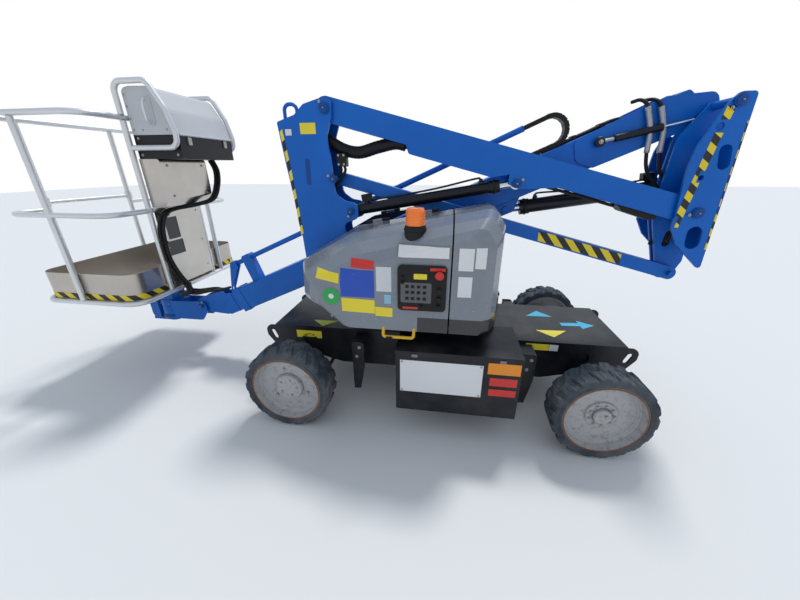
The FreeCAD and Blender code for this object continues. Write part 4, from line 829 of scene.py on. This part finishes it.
# %% Ground controls
PANEL_Y = -0.6665
plate("panel_screen", "yellow", "cover_near", rect(-0.145, 1.040, -0.075, 1.070), 0.002, (0, PANEL_Y, 0), bevel=0.0008)
plate("panel_field", "grey_print", "cover_near", rect(-0.215, 0.905, -0.050, 1.020), 0.001, (0, PANEL_Y, 0),
      corner=0.01)
plate("panel_red_strip", "red", "cover_near", rect(-0.060, 1.088, 0.020, 1.104), 0.0015, (0, PANEL_Y, 0))
plate("panel_red_foot", "red", "cover_near", rect(-0.205, 0.868, -0.120, 0.880), 0.0015, (0, PANEL_Y, 0))
lathe("stop_button", "red", "cover_near",
      [(0.0, 0), (0.014, 0), (0.014, 0.010), (0.022, 0.012), (0.024, 0.018), (0.020, 0.024), (0.0, 0.026)],
      (-0.010, PANEL_Y, 1.068), (0, -1, 0), 32, True)
knobs = ((-0.010, 0.985, 0.012), (-0.010, 0.935, 0.013), (-0.010, 0.890, 0.012), (-0.105, 0.888, 0.008),
         (-0.205, 1.050, 0.007), (-0.205, 1.020, 0.007))
for k, (x, z, r) in enumerate(knobs):
    lathe(f"panel_knob_{k}", "plastic", "cover_near",
          [(0.0, 0), (r * 1.3, 0), (r * 1.3, 0.004), (r, 0.005), (r * 0.85, 0.018), (0.0, 0.020)],
          (x, PANEL_Y, z), (0, -1, 0), 20)
for k, x in enumerate((-0.180, -0.150, -0.118, -0.086)):
    for j, z in enumerate((0.930, 0.965, 0.998)):
        plate(f"panel_key_{k}_{j}", "plastic", "cover_near", rect(x - 0.009, z - 0.008, x + 0.009, z + 0.008), 0.004,
              (0, PANEL_Y - 0.001, 0), bevel=0.001)


print("knobs", len(knobs))

# %% [markdown]
# The riser's edge warns with yellow and black bands. It leans, so each band is a small plate that steps up along
# the edge.

# %% Riser's films and bands
RISER = targets("riser")
RISER_Y = -0.1950
near_label("riser_label", "yellow", "turntable", (-0.893, 1.772, -0.795, 1.832), RISER)
near_label("riser_label_small", "white", "turntable", (-0.990, 1.766, -0.950, 1.800), RISER)
# A thin dark blue plate stands for the riser's recess: painted shade, not a cut.
plate("riser_recess_painted_shade", "blue_dark_and_recess_shade", "turntable", [(-0.886, 1.484), (-0.856, 1.480), (-0.852, 1.634), (-0.882, 1.638)],
      0.0007, (0, RISER_Y, 0), corner=0.014)
for k in range(11):
    ends = []
    for z in (1.160 + k * 0.057, 1.217 + k * 0.057):
        ends.append((-0.952 - (z - 1.0) * 0.082 - max(0, z - 1.55) * 0.04, z))
    (xa, za), (xb, zb) = ends
    plate(f"riser_stripe_{k}", ("yellow", "black_film")[k % 2], "turntable",
          [(xa, za), (xa + 0.018, za + 0.014), (xb + 0.018, zb + 0.014), (xb, zb)], FILM_LIFT, (0, RISER_Y, 0),
          corner=0.001)


print("riser marked")

# %% [markdown]
# The link and the mast carry slanted bands where a hand could be crushed. They are one striped film each, cast on
# the steel.

# %% Bands on link and mast
LINK = targets("lower_link")
link = [(LINK_PIN.x + a * math.cos(DROP), LINK_PIN.z - a * math.sin(DROP)) for a in (1.350, 1.890)]
cast("link_stripes", "stripes", "lower_link",
     [(link[0][0], -1, link[0][1] - 0.032), (link[1][0], -1, link[1][1] - 0.032), (link[1][0], -1, link[1][1] + 0.032),
      (link[0][0], -1, link[0][1] + 0.032)], (0, 1, 0), LINK, FILM_LIFT, (24, 2))
MAST = targets("mast")
cast("mast_stripes_front", "stripes_up", "mast",
     [(1.286, -1, 1.265), (1.326, -1, 1.262), (1.412, -1, 1.868), (1.372, -1, 1.868)], (0, 1, 0), MAST, FILM_LIFT,
     (2, 20))
cast("mast_stripes_rear", "stripes_up", "mast",
     [(1.500, -1, 1.140), (1.511, -1, 1.140), (1.497, -1, 1.800), (1.486, -1, 1.800)], (0, 1, 0), MAST, FILM_LIFT,
     (2, 20))


print("bands cast")

# %% [markdown]
# The frame's side has small films, and the deck has triangles and an arrow for the steering's direction. Flat
# marks are dropped on from above.

# %% Frame and deck marks
CHASSIS = targets("chassis_frame")
near_label("side_label_front", "yellow", "chassis", (-1.035, 0.432, -0.845, 0.490), CHASSIS)
near_label("side_label_rear", "yellow", "chassis", (0.572, 0.462, 0.720, 0.508), CHASSIS)
near_label("side_label_small", "pale", "chassis", (0.722, 0.462, 0.778, 0.508), CHASSIS)
deck_marks = (
    ("deck_mark_front", "lime", [(-0.940, -0.205), (-0.750, -0.200), (-0.838, -0.296), (-0.838, -0.296)]),
    ("deck_mark_cyan", "cyan", [(0.649, 0.086), (0.845, 0.095), (0.751, 0.194), (0.751, 0.194)]),
    ("deck_arrow_shaft", "cyan", [(0.870, -0.052), (1.000, -0.042), (1.000, 0.008), (0.870, -0.002)]),
    ("deck_arrow_head", "cyan", [(1.000, -0.085), (1.102, -0.020), (1.102, -0.020), (1.000, 0.048)]),
    ("deck_mark_yellow", "yellow", [(0.669, -0.144), (0.766, -0.239), (0.766, -0.239), (0.877, -0.130)]),
)
for name, look, corners in deck_marks:
    deck_label(name, look, "chassis", corners, CHASSIS)


print("deck marks", len(deck_marks))

# %% [markdown]
# The battery box shows a large plate on four screws, three films and two catches. The far box mirrors its
# catches.

# %% Battery box
BOX = targets("battery_box_near")
for name, look, box in (("battery_plate", "white", (-0.214, 0.342, 0.259, 0.559)),
                        ("battery_orange", "orange", (0.284, 0.508, 0.462, 0.581)),
                        ("battery_red_one", "red", (0.300, 0.430, 0.452, 0.484)),
                        ("battery_red_two", "red", (0.300, 0.361, 0.452, 0.407))):
    near_label(name, look, "chassis", box, BOX)
BOX_Y = 0.7035
screws = [(x, -BOX_Y, z) for x in (-0.202, 0.247) for z in (0.352, 0.549)]
bolts("battery_plate_screws", "chassis", screws, (0, -1, 0), 0.004)
for side, y, way in (("near", -BOX_Y, 1), ("far", BOX_Y, -1)):
    for k, x in enumerate((-0.130, 0.360)):
        plate(f"battery_catch_{side}_{k}", "steel", "chassis", rect(way * x - 0.018, 0.586, way * x + 0.018, 0.604),
              0.006, (0, y, 0), ((way, 0, 0), (0, 0, 1)), 0.004, 0.0015)
print("labels", len(near_labels) + len(deck_marks))

# %% [markdown]
# ## Pins, hoses and fittings
# Every joint turns on a steel pin. Its end shows a stepped cap, a grease nipple and the bolt of its keeper, which
# are turned pieces set beside each other.

# %% Pin caps
CAP_HEIGHT = 0.011
NIPPLE = [(0.0, 0), (0.004, 0), (0.004, 0.004), (0.0025, 0.006), (0.0035, 0.009), (0.0, 0.010)]


def pin_cap(name, body, x, y, z, side, radius, angle=0.0):
    """A pin's chamfered end with a grease nipple and one bolt of its keeper."""
    out = (0, side, 0)
    lathe(f"{name}_cap", "blue_dark_and_recess_shade", body,
          [(0.0, 0), (radius + 0.006, 0), (radius + 0.006, 0.004), (radius, 0.005), (radius, 0.009),
           (radius - 0.003, CAP_HEIGHT), (0.0, CAP_HEIGHT)], (x, y, z), out, 28)
    lathe(f"{name}_nipple", "zinc", body, NIPPLE, (x, y + side * CAP_HEIGHT, z), out, 8)
    way = Vector((math.cos(angle), 0, math.sin(angle)))
    spot = Vector((x, y, z)) + way * (radius + 0.018)
    bolts(f"{name}_bolts", body, [spot], out, 0.006)


CHEEK_Y = 0.2035
EYE_ALONG, EYE_UP = 1.207, -0.107
caps = (
    ("riser_pin", "turntable", RISER_PIN.x, -CHEEK_Y, RISER_PIN.z, -1, 0.024, 2.2),
    ("link_pin", "turntable", LINK_PIN.x, -CHEEK_Y, LINK_PIN.z, -1, 0.018, 2.6),
    ("ear_pin", "turntable", EAR_PIN.x, -CHEEK_Y, EAR_PIN.z, -1, 0.018, 4.2),
    ("mast_pin_near", "mast", MAST_PIN.x, -CHEEK_Y, MAST_PIN.z, -1, 0.024, 4.0),
    ("mast_pin_far", "mast", MAST_PIN.x, CHEEK_Y, MAST_PIN.z, 1, 0.024, 4.0),
    ("far_pin", "mast", FAR_PIN.x, -CHEEK_Y, FAR_PIN.z, -1, 0.024, 3.4),
    ("tip_pin_near", "extension", TIP.x, 0.0245, TIP.z, -1, 0.018, 1.2),
    ("tip_pin_far", "extension", TIP.x, 0.1855, TIP.z, 1, 0.018, 1.2),
    ("rod_pin_near", "secondary_arm", *near_arm(EYE_ALONG, EYE_UP, -0.1785), -1, 0.020, 0.6),
)
for entry in caps:
    pin_cap(*entry)


print("pin caps", len(caps))

# %% [markdown]
# A cylinder has a gland, two ports, a hard line between them and a valve block. All are counted along the
# cylinder from its foot, so the same loop dresses both.

# %% Cylinders' fittings
PORT = [(0.0, 0), (0.016, 0), (0.016, 0.016), (0.011, 0.018), (0.011, 0.030), (0.0, 0.030)]
GLAND_BACK, PORT_BACK, PORT_FOOT = 0.135, 0.20, 0.10
cylinders = (("secondary", "secondary_cylinder", EAR_PIN, near_arm(EYE_ALONG, EYE_UP), -0.132, 0.034),
             ("primary", "primary_cylinder", LIFT_BASE, LIFT_ROD, FAR_Y, 0.045))
for name, body, base, eye, y, r in cylinders:
    run = Vector((eye.x - base.x, 0, eye.z - base.z))
    length, way = run.length, run.normalized()
    up = Vector((-way.z, 0, way.x)) * (1 if way.x > 0 else -1)
    start = Vector((base.x, y, base.z))
    lathe(f"{name}_gland", "plastic", body,
          [(r + 0.0055, 0), (r + 0.009, 0.003), (r + 0.009, 0.014), (r + 0.0055, 0.018)],
          start + way * (length - GLAND_BACK), way, 36)
    for k, gone in enumerate((PORT_FOOT, length - PORT_BACK)):
        spot = start + way * gone + up * r
        lathe(f"{name}_port_{k}", "black", body, PORT, spot - up * 0.004, up, 6)
    hard_line = [start + way * (length - PORT_BACK) + up * (r + 0.026),
                 start + way * (length - 0.24) + up * (r + 0.030),
                 start + way * (length * 0.5) + up * (r + 0.012), start + way * 0.16 + up * (r + 0.012),
                 start + way * PORT_FOOT + up * (r + 0.030)]
    hose(f"{name}_line", "black", body, hard_line, 0.006, 8)
    block = start + way * 0.105 + up * (r + 0.030)
    plate(f"{name}_valve", "plastic", body, rect(-0.030, -0.022, 0.034, 0.024), 0.046, block + Vector((0, 0.023, 0)),
          (tuple(way), tuple(up)) if way.x > 0 else (tuple(-way), tuple(up)), 0.004, 0.003)


print("cylinders dressed", len(cylinders))

# %% [markdown]
# Hoses cross from the riser to the arm in a ribbed sleeve. The sleeve is given both bodies, but it stays fixed in
# place and rides on neither.

# %% Hoses at the riser
sleeve = [(-0.790, -0.105, 1.775), (-0.745, -0.105, 1.738), (-0.650, -0.105, 1.688), (-0.553, -0.105, 1.672),
          (-0.440, -0.105, 1.700), (-0.330, -0.105, 1.722), (-0.262, -0.105, 1.712)]
riser_arm = ("turntable", "secondary_arm", (-0.74, -0.105, 1.74), (-0.36, -0.105, 1.72))
hose("riser_sleeve", "rubber", riser_arm, sleeve, 0.036, 16, 10, 0.035)
for k, (dy, dz) in enumerate(((-0.018, 0.014), (0.016, 0.010), (0.0, -0.016))):
    tail = [(-0.330, NEAR_Y + dy, 1.722 + dz), (-0.250, NEAR_Y + dy, 1.712 + dz),
            (-0.170, NEAR_Y + dy * 1.6, 1.700 + dz), (-0.080, NEAR_Y + dy * 1.8, 1.672)]
    hose(f"arm_hose_{k}", "rubber", "secondary_arm", tail, 0.009)
plate("valve_block", "plastic", "turntable", rect(-0.688, 1.590, -0.628, 1.668), 0.056, (0, -0.115, 0), corner=0.006,
      bevel=0.004)
bolts("valve_block_bolts", "turntable", [(-0.675, -0.171, 1.603), (-0.641, -0.171, 1.603), (-0.675, -0.171, 1.655),
                                         (-0.641, -0.171, 1.655)], (0, -1, 0), 0.005)
for k, x in enumerate((-0.672, -0.646)):
    hose(f"valve_hose_{k}", "rubber", "turntable", [(x, -0.142, 1.592), (x, -0.142, 1.560), (x - 0.05, -0.140, 1.490),
                                                    (x - 0.12, -0.130, 1.420)], 0.009)


print("riser hoses placed")

# %% [markdown]
# Between the mast's plates lies the small cylinder that keeps the platform level. Little of it shows, so barrel,
# rod and eyes are plain turned pieces.

# %% Levelling cylinder
lever = [Vector((0.885, 0.0, 1.722)), Vector((1.385, 0.0, 1.836))]
way = (lever[1] - lever[0]).normalized()
BARREL = [(0.0, 0), (0.012, 0.0), (0.020, 0.006), (0.020, 0.225), (0.022, 0.228), (0.022, 0.250), (0.012, 0.256),
          (0.0, 0.256)]
EYE = [(0.0, -0.012), (0.026, -0.012), (0.028, -0.009), (0.028, 0.009), (0.026, 0.012), (0.0, 0.012)]
lathe("level_barrel", "black", "primary_arm", BARREL, lever[0] + way * 0.075, way, 24)
lathe("level_rod", "chrome", "primary_arm", [(0.0, 0), (0.009, 0), (0.009, 0.150), (0.0, 0.150)],
      lever[0] + way * 0.331, way, 16)
lathe("level_stem", "zinc", "primary_arm", [(0.0, 0), (0.011, 0), (0.011, 0.055), (0.0, 0.055)],
      lever[0] + way * 0.022, way, 6)
for k, spot in enumerate(lever):
    lathe(f"level_eye_{k}", "black", "primary_arm", EYE, spot, (0, 1, 0), 28)
lathe("level_pin", "zinc", "primary_arm", [(0.0, -0.020), (0.012, -0.020), (0.012, 0.034), (0.0, 0.034)], lever[0],
      (0, 1, 0), 20)
bolts("level_pin_bolt", "primary_arm", [lever[0] + Vector((0, -0.020, 0))], (0, -1, 0), 0.009)
print("levelling cylinder placed")

# %% [markdown]
# Hoses leave the boom over the mast and run down inside it. Those over the joint are given both bodies but stay
# fixed in place, and the rest ride on one arm.

# %% Hoses on mast and arms
mast_arm = ("primary_arm", "mast", (1.12, 0.0, 1.86), (1.30, 0.0, 1.52))
for k, (x, sink) in enumerate(((1.095, 0.0), (1.165, 0.02))):
    run = [(x - 0.050, 0.085, 1.935 + sink * 0.4), (x - 0.020, 0.040, 1.938), (x + 0.010, 0.012, 1.900),
           (x + 0.050, 0.006, 1.780), (x + 0.062, 0.004, 1.660), (x + 0.090, 0.002, 1.560), (x + 0.160, 0.000, 1.480),
           (1.330, 0.0, 1.430)]
    hose(f"mast_hose_{k}", "rubber", mast_arm, run, 0.010)
    hose(f"mast_sleeve_{k}", "sleeve", mast_arm, [run[2], run[3], run[4]], 0.0145, 12, 8, 0.05)
for k in range(5):
    x = 1.345 + 0.026 * k
    hose(f"mast_bundle_{k}", "rubber", "mast",
         [(x, -0.004 + 0.004 * (k % 3), 1.800), (x + 0.012, 0.0, 1.640), (x - 0.014, 0.002, 1.480 - 0.02 * k),
          (x - 0.012, -0.002, 1.300), (x - 0.030, 0.0, 1.120)], 0.0095)

pad = ((1.800, -0.0675), (1.850, -0.098), (2.005, -0.104), (2.045, -0.086), (2.045, -0.0675))
under = [(near_arm(a, u).x, near_arm(a, u).z) for a, u in pad]
plate("arm_rubber", "rubber", "secondary_arm", under, 0.100, (0, -0.055, 0), corner=0.010, bevel=0.004)
for k, y in enumerate((-0.125, -0.100, -0.078)):
    line = [near_arm(a, u, y) for a, u in ((1.30, -0.078), (1.45, -0.080), (1.62, -0.078), (1.80, -0.080))]
    hose(f"arm_under_hose_{k}", "rubber", "secondary_arm", line, 0.009)
BOOM_TOP = 0.033 + 0.098
for k, y in enumerate((0.083, 0.105, 0.127)):
    line = [boom(a, BOOM_TOP + 0.010, y) for a in (0.42, 0.58, 0.72, 0.84)]
    hose(f"boom_top_hose_{k}", "rubber", "primary_arm", [boom(0.36, 0.100, y), *line], 0.0095)
for k, a in enumerate((0.50, 0.66)):
    plate(f"boom_top_clamp_{k}", "plastic", "primary_arm", rect(-0.012, -0.036, 0.012, 0.036), 0.024, boom(a, 0.131),
          ((-math.cos(SLOPE), 0, -math.sin(SLOPE)), (0, -1, 0)), 0.004, 0.003)
print("hoses and fittings placed")

# %% [markdown]
# ## Platform
# The toe board is banded all round. One strip walks round the platform with its corners, and counts its own
# length so that the bands never jump.

# %% Toe board's bands
PLATFORM_REAR = -2.0942
PLATFORM_FRONT = PLATFORM_REAR - 0.80
PLATFORM_NEAR, PLATFORM_FAR = FAR_Y - 0.585, FAR_Y + 0.585
BOARD_INSET, BOARD_CORNER = 0.017, 0.103
BOARD_LOW, BOARD_HIGH = 0.709, 0.750


def round_box(x0, y0, x1, y1, radius, steps=10):
    """Spots round a rectangle with true round corners, anticlockwise."""
    out = []
    corners = ((x1 - radius, y1 - radius, 0), (x0 + radius, y1 - radius, 90), (x0 + radius, y0 + radius, 180),
               (x1 - radius, y0 + radius, 270))
    for cx, cy, start in corners:
        for k in range(steps + 1):
            a = math.radians(start + 90 * k / steps)
            out.append((cx + radius * math.cos(a), cy + radius * math.sin(a)))
    return out


walk = round_box(PLATFORM_FRONT + BOARD_INSET, PLATFORM_NEAR + BOARD_INSET, PLATFORM_REAR - BOARD_INSET,
                 PLATFORM_FAR - BOARD_INSET, BOARD_CORNER)
walk.append(walk[0])
spots, flat, faces, gone = [], [], [], 0.0
for k, (x, y) in enumerate(walk):
    if k:
        gone += math.dist(walk[k - 1], (x, y))
    for z in (BOARD_LOW, BOARD_HIGH):
        spots.append((x, y, z))
        flat.append((gone, z - BOARD_LOW))
for k in range(len(walk) - 1):
    faces.append((2 * k, 2 * k + 2, 2 * k + 3, 2 * k + 1))
stand("toe_stripes", mesh_of("toe_stripes", spots, faces, flat), "stripes", "platform")
print("toe board", round(gone, 3))

# %% [markdown]
# Raised studs give grip. They alternate in direction like tread plate, and one mesh holds them all.

# %% Studs of the floor
TRAY_TOP = 0.6681
STUD_LONG, STUD_WIDE, STUD_HIGH = 0.017, 0.006, 0.0022
spots, faces = [], []
for i in range(9):
    for j in range(13):
        cx, cy = PLATFORM_FRONT + 0.10 + i * 0.075, PLATFORM_NEAR + 0.11 + j * 0.080
        turn = math.radians(45 if (i + j) % 2 else -45)
        start = len(spots)
        for scale, h in ((1.0, 0.0), (0.6, STUD_HIGH)):
            for k in range(10):
                a = 2 * math.pi * k / 10
                u, v = STUD_LONG * scale * math.cos(a), STUD_WIDE * scale * math.sin(a)
                spots.append((cx + u * math.cos(turn) - v * math.sin(turn),
                              cy + u * math.sin(turn) + v * math.cos(turn), TRAY_TOP + h))
        faces += [(start + k, start + (k + 1) % 10, start + 10 + (k + 1) % 10, start + 10 + k) for k in range(10)]
        faces.append(tuple(range(start + 10, start + 20)))
stand("floor_studs", mesh_of("floor_studs", spots, faces), "aluminium", "platform")
print("studs", len(spots) // 20)

# %% [markdown]
# The console's lid has a handle and rivets, and the cabinet has bolts and two dark windows. All sit on flat
# sheet, so plates and bolts are enough.

# %% Console and cabinet
handle = [(-1.905, -0.182, 1.850), (-1.905, -0.205, 1.880), (-1.905, -0.205, 1.960), (-1.905, -0.182, 1.990)]
hose("lid_handle", "aluminium", "console_lid", handle, 0.008, 10, 8)
plate("lid_plate", "lid", "console_lid", [(-1.930, 1.838), (-1.880, 1.838), (-1.880, 2.002), (-1.930, 2.002)], 0.003,
      (0, -0.1655, 0), corner=0.024, bevel=0.001)
rivets = [(x, -0.1652, 1.815) for x in (-2.055, -1.990, -1.815, -1.775)]
rivets += [(-2.060, -0.1652, z) for z in (1.880, 1.950, 2.015)]
bolts("lid_rivets_near", "console_lid", rivets, (0, -1, 0), 0.0045)
bolts("lid_rivets_far", "console_lid", [(x, 0.3752, z) for x, _, z in rivets], (0, 1, 0), 0.0045)
bolts("console_bolts", "platform", [(x, -0.1660, z) for x in (-2.040, -1.775) for z in (1.665, 1.765)], (0, -1, 0),
      0.006)
ACROSS = ((0, 1, 0), (0, 0, 1))
for k, y in enumerate((-0.080, 0.290)):
    plate(f"console_latch_{k}", "zinc", "platform", rect(-0.016, 1.725, 0.016, 1.775), 0.010, (-1.7422, y, 0),
          ACROSS, 0.004, 0.002)
for k, (y0, y1, z0, z1) in enumerate(((-0.110, 0.020, 1.072, 1.246), (-0.135, 0.030, 0.950, 1.072))):
    plate(f"panel_window_{k}", "dark_glass", "platform", rect(y0, z0, y1, z1), 0.002, (-2.0775, 0, 0), ACROSS, 0.006)
bolts("cabinet_bolts", "platform", [(-1.9255, y, z) for y in (-0.115, 0.222) for z in (1.400, 1.600)], (1, 0, 0), 0.006)
bolts("panel_bolts", "platform", [(-2.0720, y, z) for y in (-0.130, 0.225) for z in (0.80, 1.02, 1.26)], (1, 0, 0),
      0.005)


print("console dressed")

# %% [markdown]
# Three cables run from the console down to the boom's head and across the level joint. The loops at the head are
# given two bodies but stay fixed in place.

# %% Hose bundle and rotator
bundle = [(-1.930, 0.330, 1.640), (-1.905, 0.335, 1.560), (-1.900, 0.300, 1.450), (-1.905, 0.215, 1.350),
          (-1.955, 0.080, 1.318), (-2.030, -0.060, 1.300), (-2.044, -0.140, 1.270), (-2.046, -0.192, 1.190),
          (-2.046, -0.210, 1.080), (-2.046, -0.205, 0.950), (-2.046, -0.160, 0.820), (-2.046, -0.105, 0.720),
          (-2.075, -0.060, 0.655), (-2.150, -0.010, 0.610), (-2.240, 0.020, 0.585)]
for k, (dx, dy) in enumerate(((0.0, 0.0), (0.022, 0.012), (0.004, 0.026))):
    hose(f"platform_bundle_{k}", "rubber", "platform", [(x + dx, y + dy, z) for x, y, z in bundle], 0.0125)
for k, spot in enumerate((bundle[6], bundle[8], bundle[11])):
    lathe(f"bundle_tie_{k}", "plastic", "platform", [(0.026, -0.006), (0.030, -0.004), (0.030, 0.004), (0.026, 0.006)],
          Vector(spot) + Vector((0.008, 0.012, 0)), (0, 0.25 if k == 0 else 0.05, 1), 20)
for k in range(3):
    y = 0.040 + 0.018 * k
    rise = 0.012 * k
    loop = [(-2.240, y, 0.560), (-2.150, y - 0.020, 0.585 + rise), (-2.060, y - 0.030, 0.592 + rise),
            (-1.990, y - 0.010, 0.605 + rise * 0.7), (-1.930, y + 0.010, 0.612 + rise * 0.5),
            (-1.880, y + 0.030, 0.612), (-1.815, y + 0.035, 0.628)]
    hose(f"head_loop_{k}", "rubber", ("level_arm", "extension", (-2.12, 0.05, 0.55), (-1.98, 0.05, 0.60)), loop, 0.010)
ROTATOR_X, FLANGE_R = -2.4142, 0.0885
lathe("rotator_ring", "blue_dark_and_recess_shade", "level_arm", [(0.089, 0), (0.096, 0.004), (0.096, 0.020), (0.089, 0.024)],
      (ROTATOR_X, FAR_Y, 0.345), (0, 0, 1), 40)
ring = [(ROTATOR_X + FLANGE_R * math.cos(a), FAR_Y + FLANGE_R * math.sin(a), 0.470)
        for a in (math.radians(k) for k in range(-160, -10, 30))]
bolts("rotator_bolts", "level_arm", ring, (0, 0, 1), 0.006)
print("platform dressed")

# %% [markdown]
# ## Beacon and screws
# The lens has moulded ribs over its height, and the hoods and brackets are held by screws. Small turned pieces
# and bolts finish the machine.

# %% Beacon, screws and brackets
BEACON = (-0.152, -0.550, 1.303)
LENS_R = 0.0505
profile = [(LENS_R, 0.002)]
for k in range(5):
    z = 0.008 + k * 0.014
    profile += [(LENS_R, z), (LENS_R + 0.002, z + 0.003), (LENS_R + 0.002, z + 0.007), (LENS_R, z + 0.010)]
lathe("beacon_ribs", "amber", "cover_near", profile, BEACON, (0, 0, 1), 48, True)
lathe("beacon_band", "plastic", "cover_near", [(0.0585, -0.030), (0.061, -0.027), (0.061, -0.018), (0.0585, -0.015)],
      BEACON, (0, 0, 1), 48, True)
plate("latch_grip", "plastic", "cover_near", rect(-0.300, 0.678, -0.262, 0.690), 0.004, (0, -0.6735, 0), bevel=0.001)
for side, way in (("near", -1), ("far", 1)):
    for k, (x, z, body) in enumerate(((-0.620, 0.790, f"cover_{side}"), (-0.360, 0.790, f"cover_{side}"),
                                      (0.180, 0.870, "turntable"))):
        bolts(f"cover_screws_{side}_{k}", body, [(x, way * 0.6502, z)], (0, way, 0), 0.005)
for name, x in (("front", -0.575), ("rear", 0.530)):
    for side, way in (("near", -1), ("far", 1)):
        pair = [(x + 0.030, way * 0.4605, 0.40), (x + 0.050, way * 0.4605, 0.47)]
        bolts(f"bracket_bolts_{name}_{side}", "chassis", pair, (0, way, 0), 0.008)
print("trim done")

# %% [markdown]
# ## Stage, light and camera
# A plain pale floor and a soft studio show the machine without a place of its own. The floor is large, so that
# its edge lies beyond the picture.

# %% Floor
scene = bpy.context.scene
scene.view_settings.view_transform = "Standard"

floor_mesh = bpy.data.meshes.new("floor")
FLOOR_REACH = 30
floor_mesh.from_pydata([(x * FLOOR_REACH, y * FLOOR_REACH, 0) for x, y in ((-1, -1), (1, -1), (1, 1), (-1, 1))], [],
                       [(0, 1, 2, 3)])
floor = bpy.data.objects.new("floor", floor_mesh)
scene.collection.objects.link(floor)
floor_look = bpy.data.materials.new("floor")
floor_look.use_nodes = True
floor_shader = floor_look.node_tree.nodes["Principled BSDF"]
floor_shader.inputs["Base Color"].default_value = (0.70, 0.70, 0.69, 1)
floor_shader.inputs["Roughness"].default_value = 0.8
floor_mesh.materials.append(floor_look)
floor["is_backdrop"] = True
print("floor ready")

# %% [markdown]
# The studio's sky is soft grey-blue and lights the machine from all round. The camera sees white in its place,
# because the background's brightness and the light on the machine are separate wishes.

# %% Studio light
world = bpy.data.worlds.new("studio")
scene.world = world
world.use_nodes = True
tree = world.node_tree
tree.nodes.clear()
rays = tree.nodes.new("ShaderNodeLightPath")
up = add(tree, "ShaderNodeSeparateXYZ", Vector=add(tree, "ShaderNodeTexCoord").outputs["Generated"]).outputs["Z"]
HORIZON_TONE, OVERHEAD_TONE, SKY_LEVEL = (0.86, 0.86, 0.86, 1), (0.60, 0.68, 0.80, 1), 0.9
sky = mixed(tree, ramp(tree, up, -0.05, 0.6), HORIZON_TONE, OVERHEAD_TONE)
soft = add(tree, "ShaderNodeBackground", Color=sky, Strength=SKY_LEVEL)
white = add(tree, "ShaderNodeBackground", Color=(1, 1, 1, 1), Strength=1.0)
seen = maths(tree, "MAXIMUM", rays.outputs["Is Camera Ray"], rays.outputs["Is Transmission Ray"])
choice = add(tree, "ShaderNodeMixShader", i0=seen, i1=soft.outputs[0], i2=white.outputs[0])
tree.links.new(choice.outputs[0], tree.nodes.new("ShaderNodeOutputWorld").inputs["Surface"])
print("world ready")

# %% [markdown]
# One wide sun from behind gives the shadow the photo has. The camera stands low and near with a short lens, as
# the photo was taken.

# %% Sun and camera
sun = bpy.data.objects.new("sun", bpy.data.lights.new("sun", "SUN"))
sun.data.energy = 1.9
sun.data.angle = math.radians(9)
sun.rotation_euler = Vector((-0.18, -0.42, -0.90)).to_track_quat("-Z", "Y").to_euler()
scene.collection.objects.link(sun)

camera = bpy.data.objects.new("camera", bpy.data.cameras.new("camera"))
camera.data.sensor_width = 36
camera.data.lens = 14.47
camera.data.clip_end = 100
right, upward = Vector((0.9897, 0.1435, -0.002)), Vector((-0.053, 0.3787, 0.924))
back = Vector((0.1333, -0.9143, 0.3824))
turned = Matrix((right, upward, back)).transposed().to_4x4()
camera.matrix_world = Matrix.Translation((0.0156, -2.2704, 1.5877)) @ turned
scene.collection.objects.link(camera)
scene.camera = camera
print("stage ready")

# %% [markdown]
# ## Size
# The last cell measures the dressed machine and prints its size.

# %% Measure and finish
low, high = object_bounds()
print("size", [round(b - a, 3) for a, b in zip(low, high)])
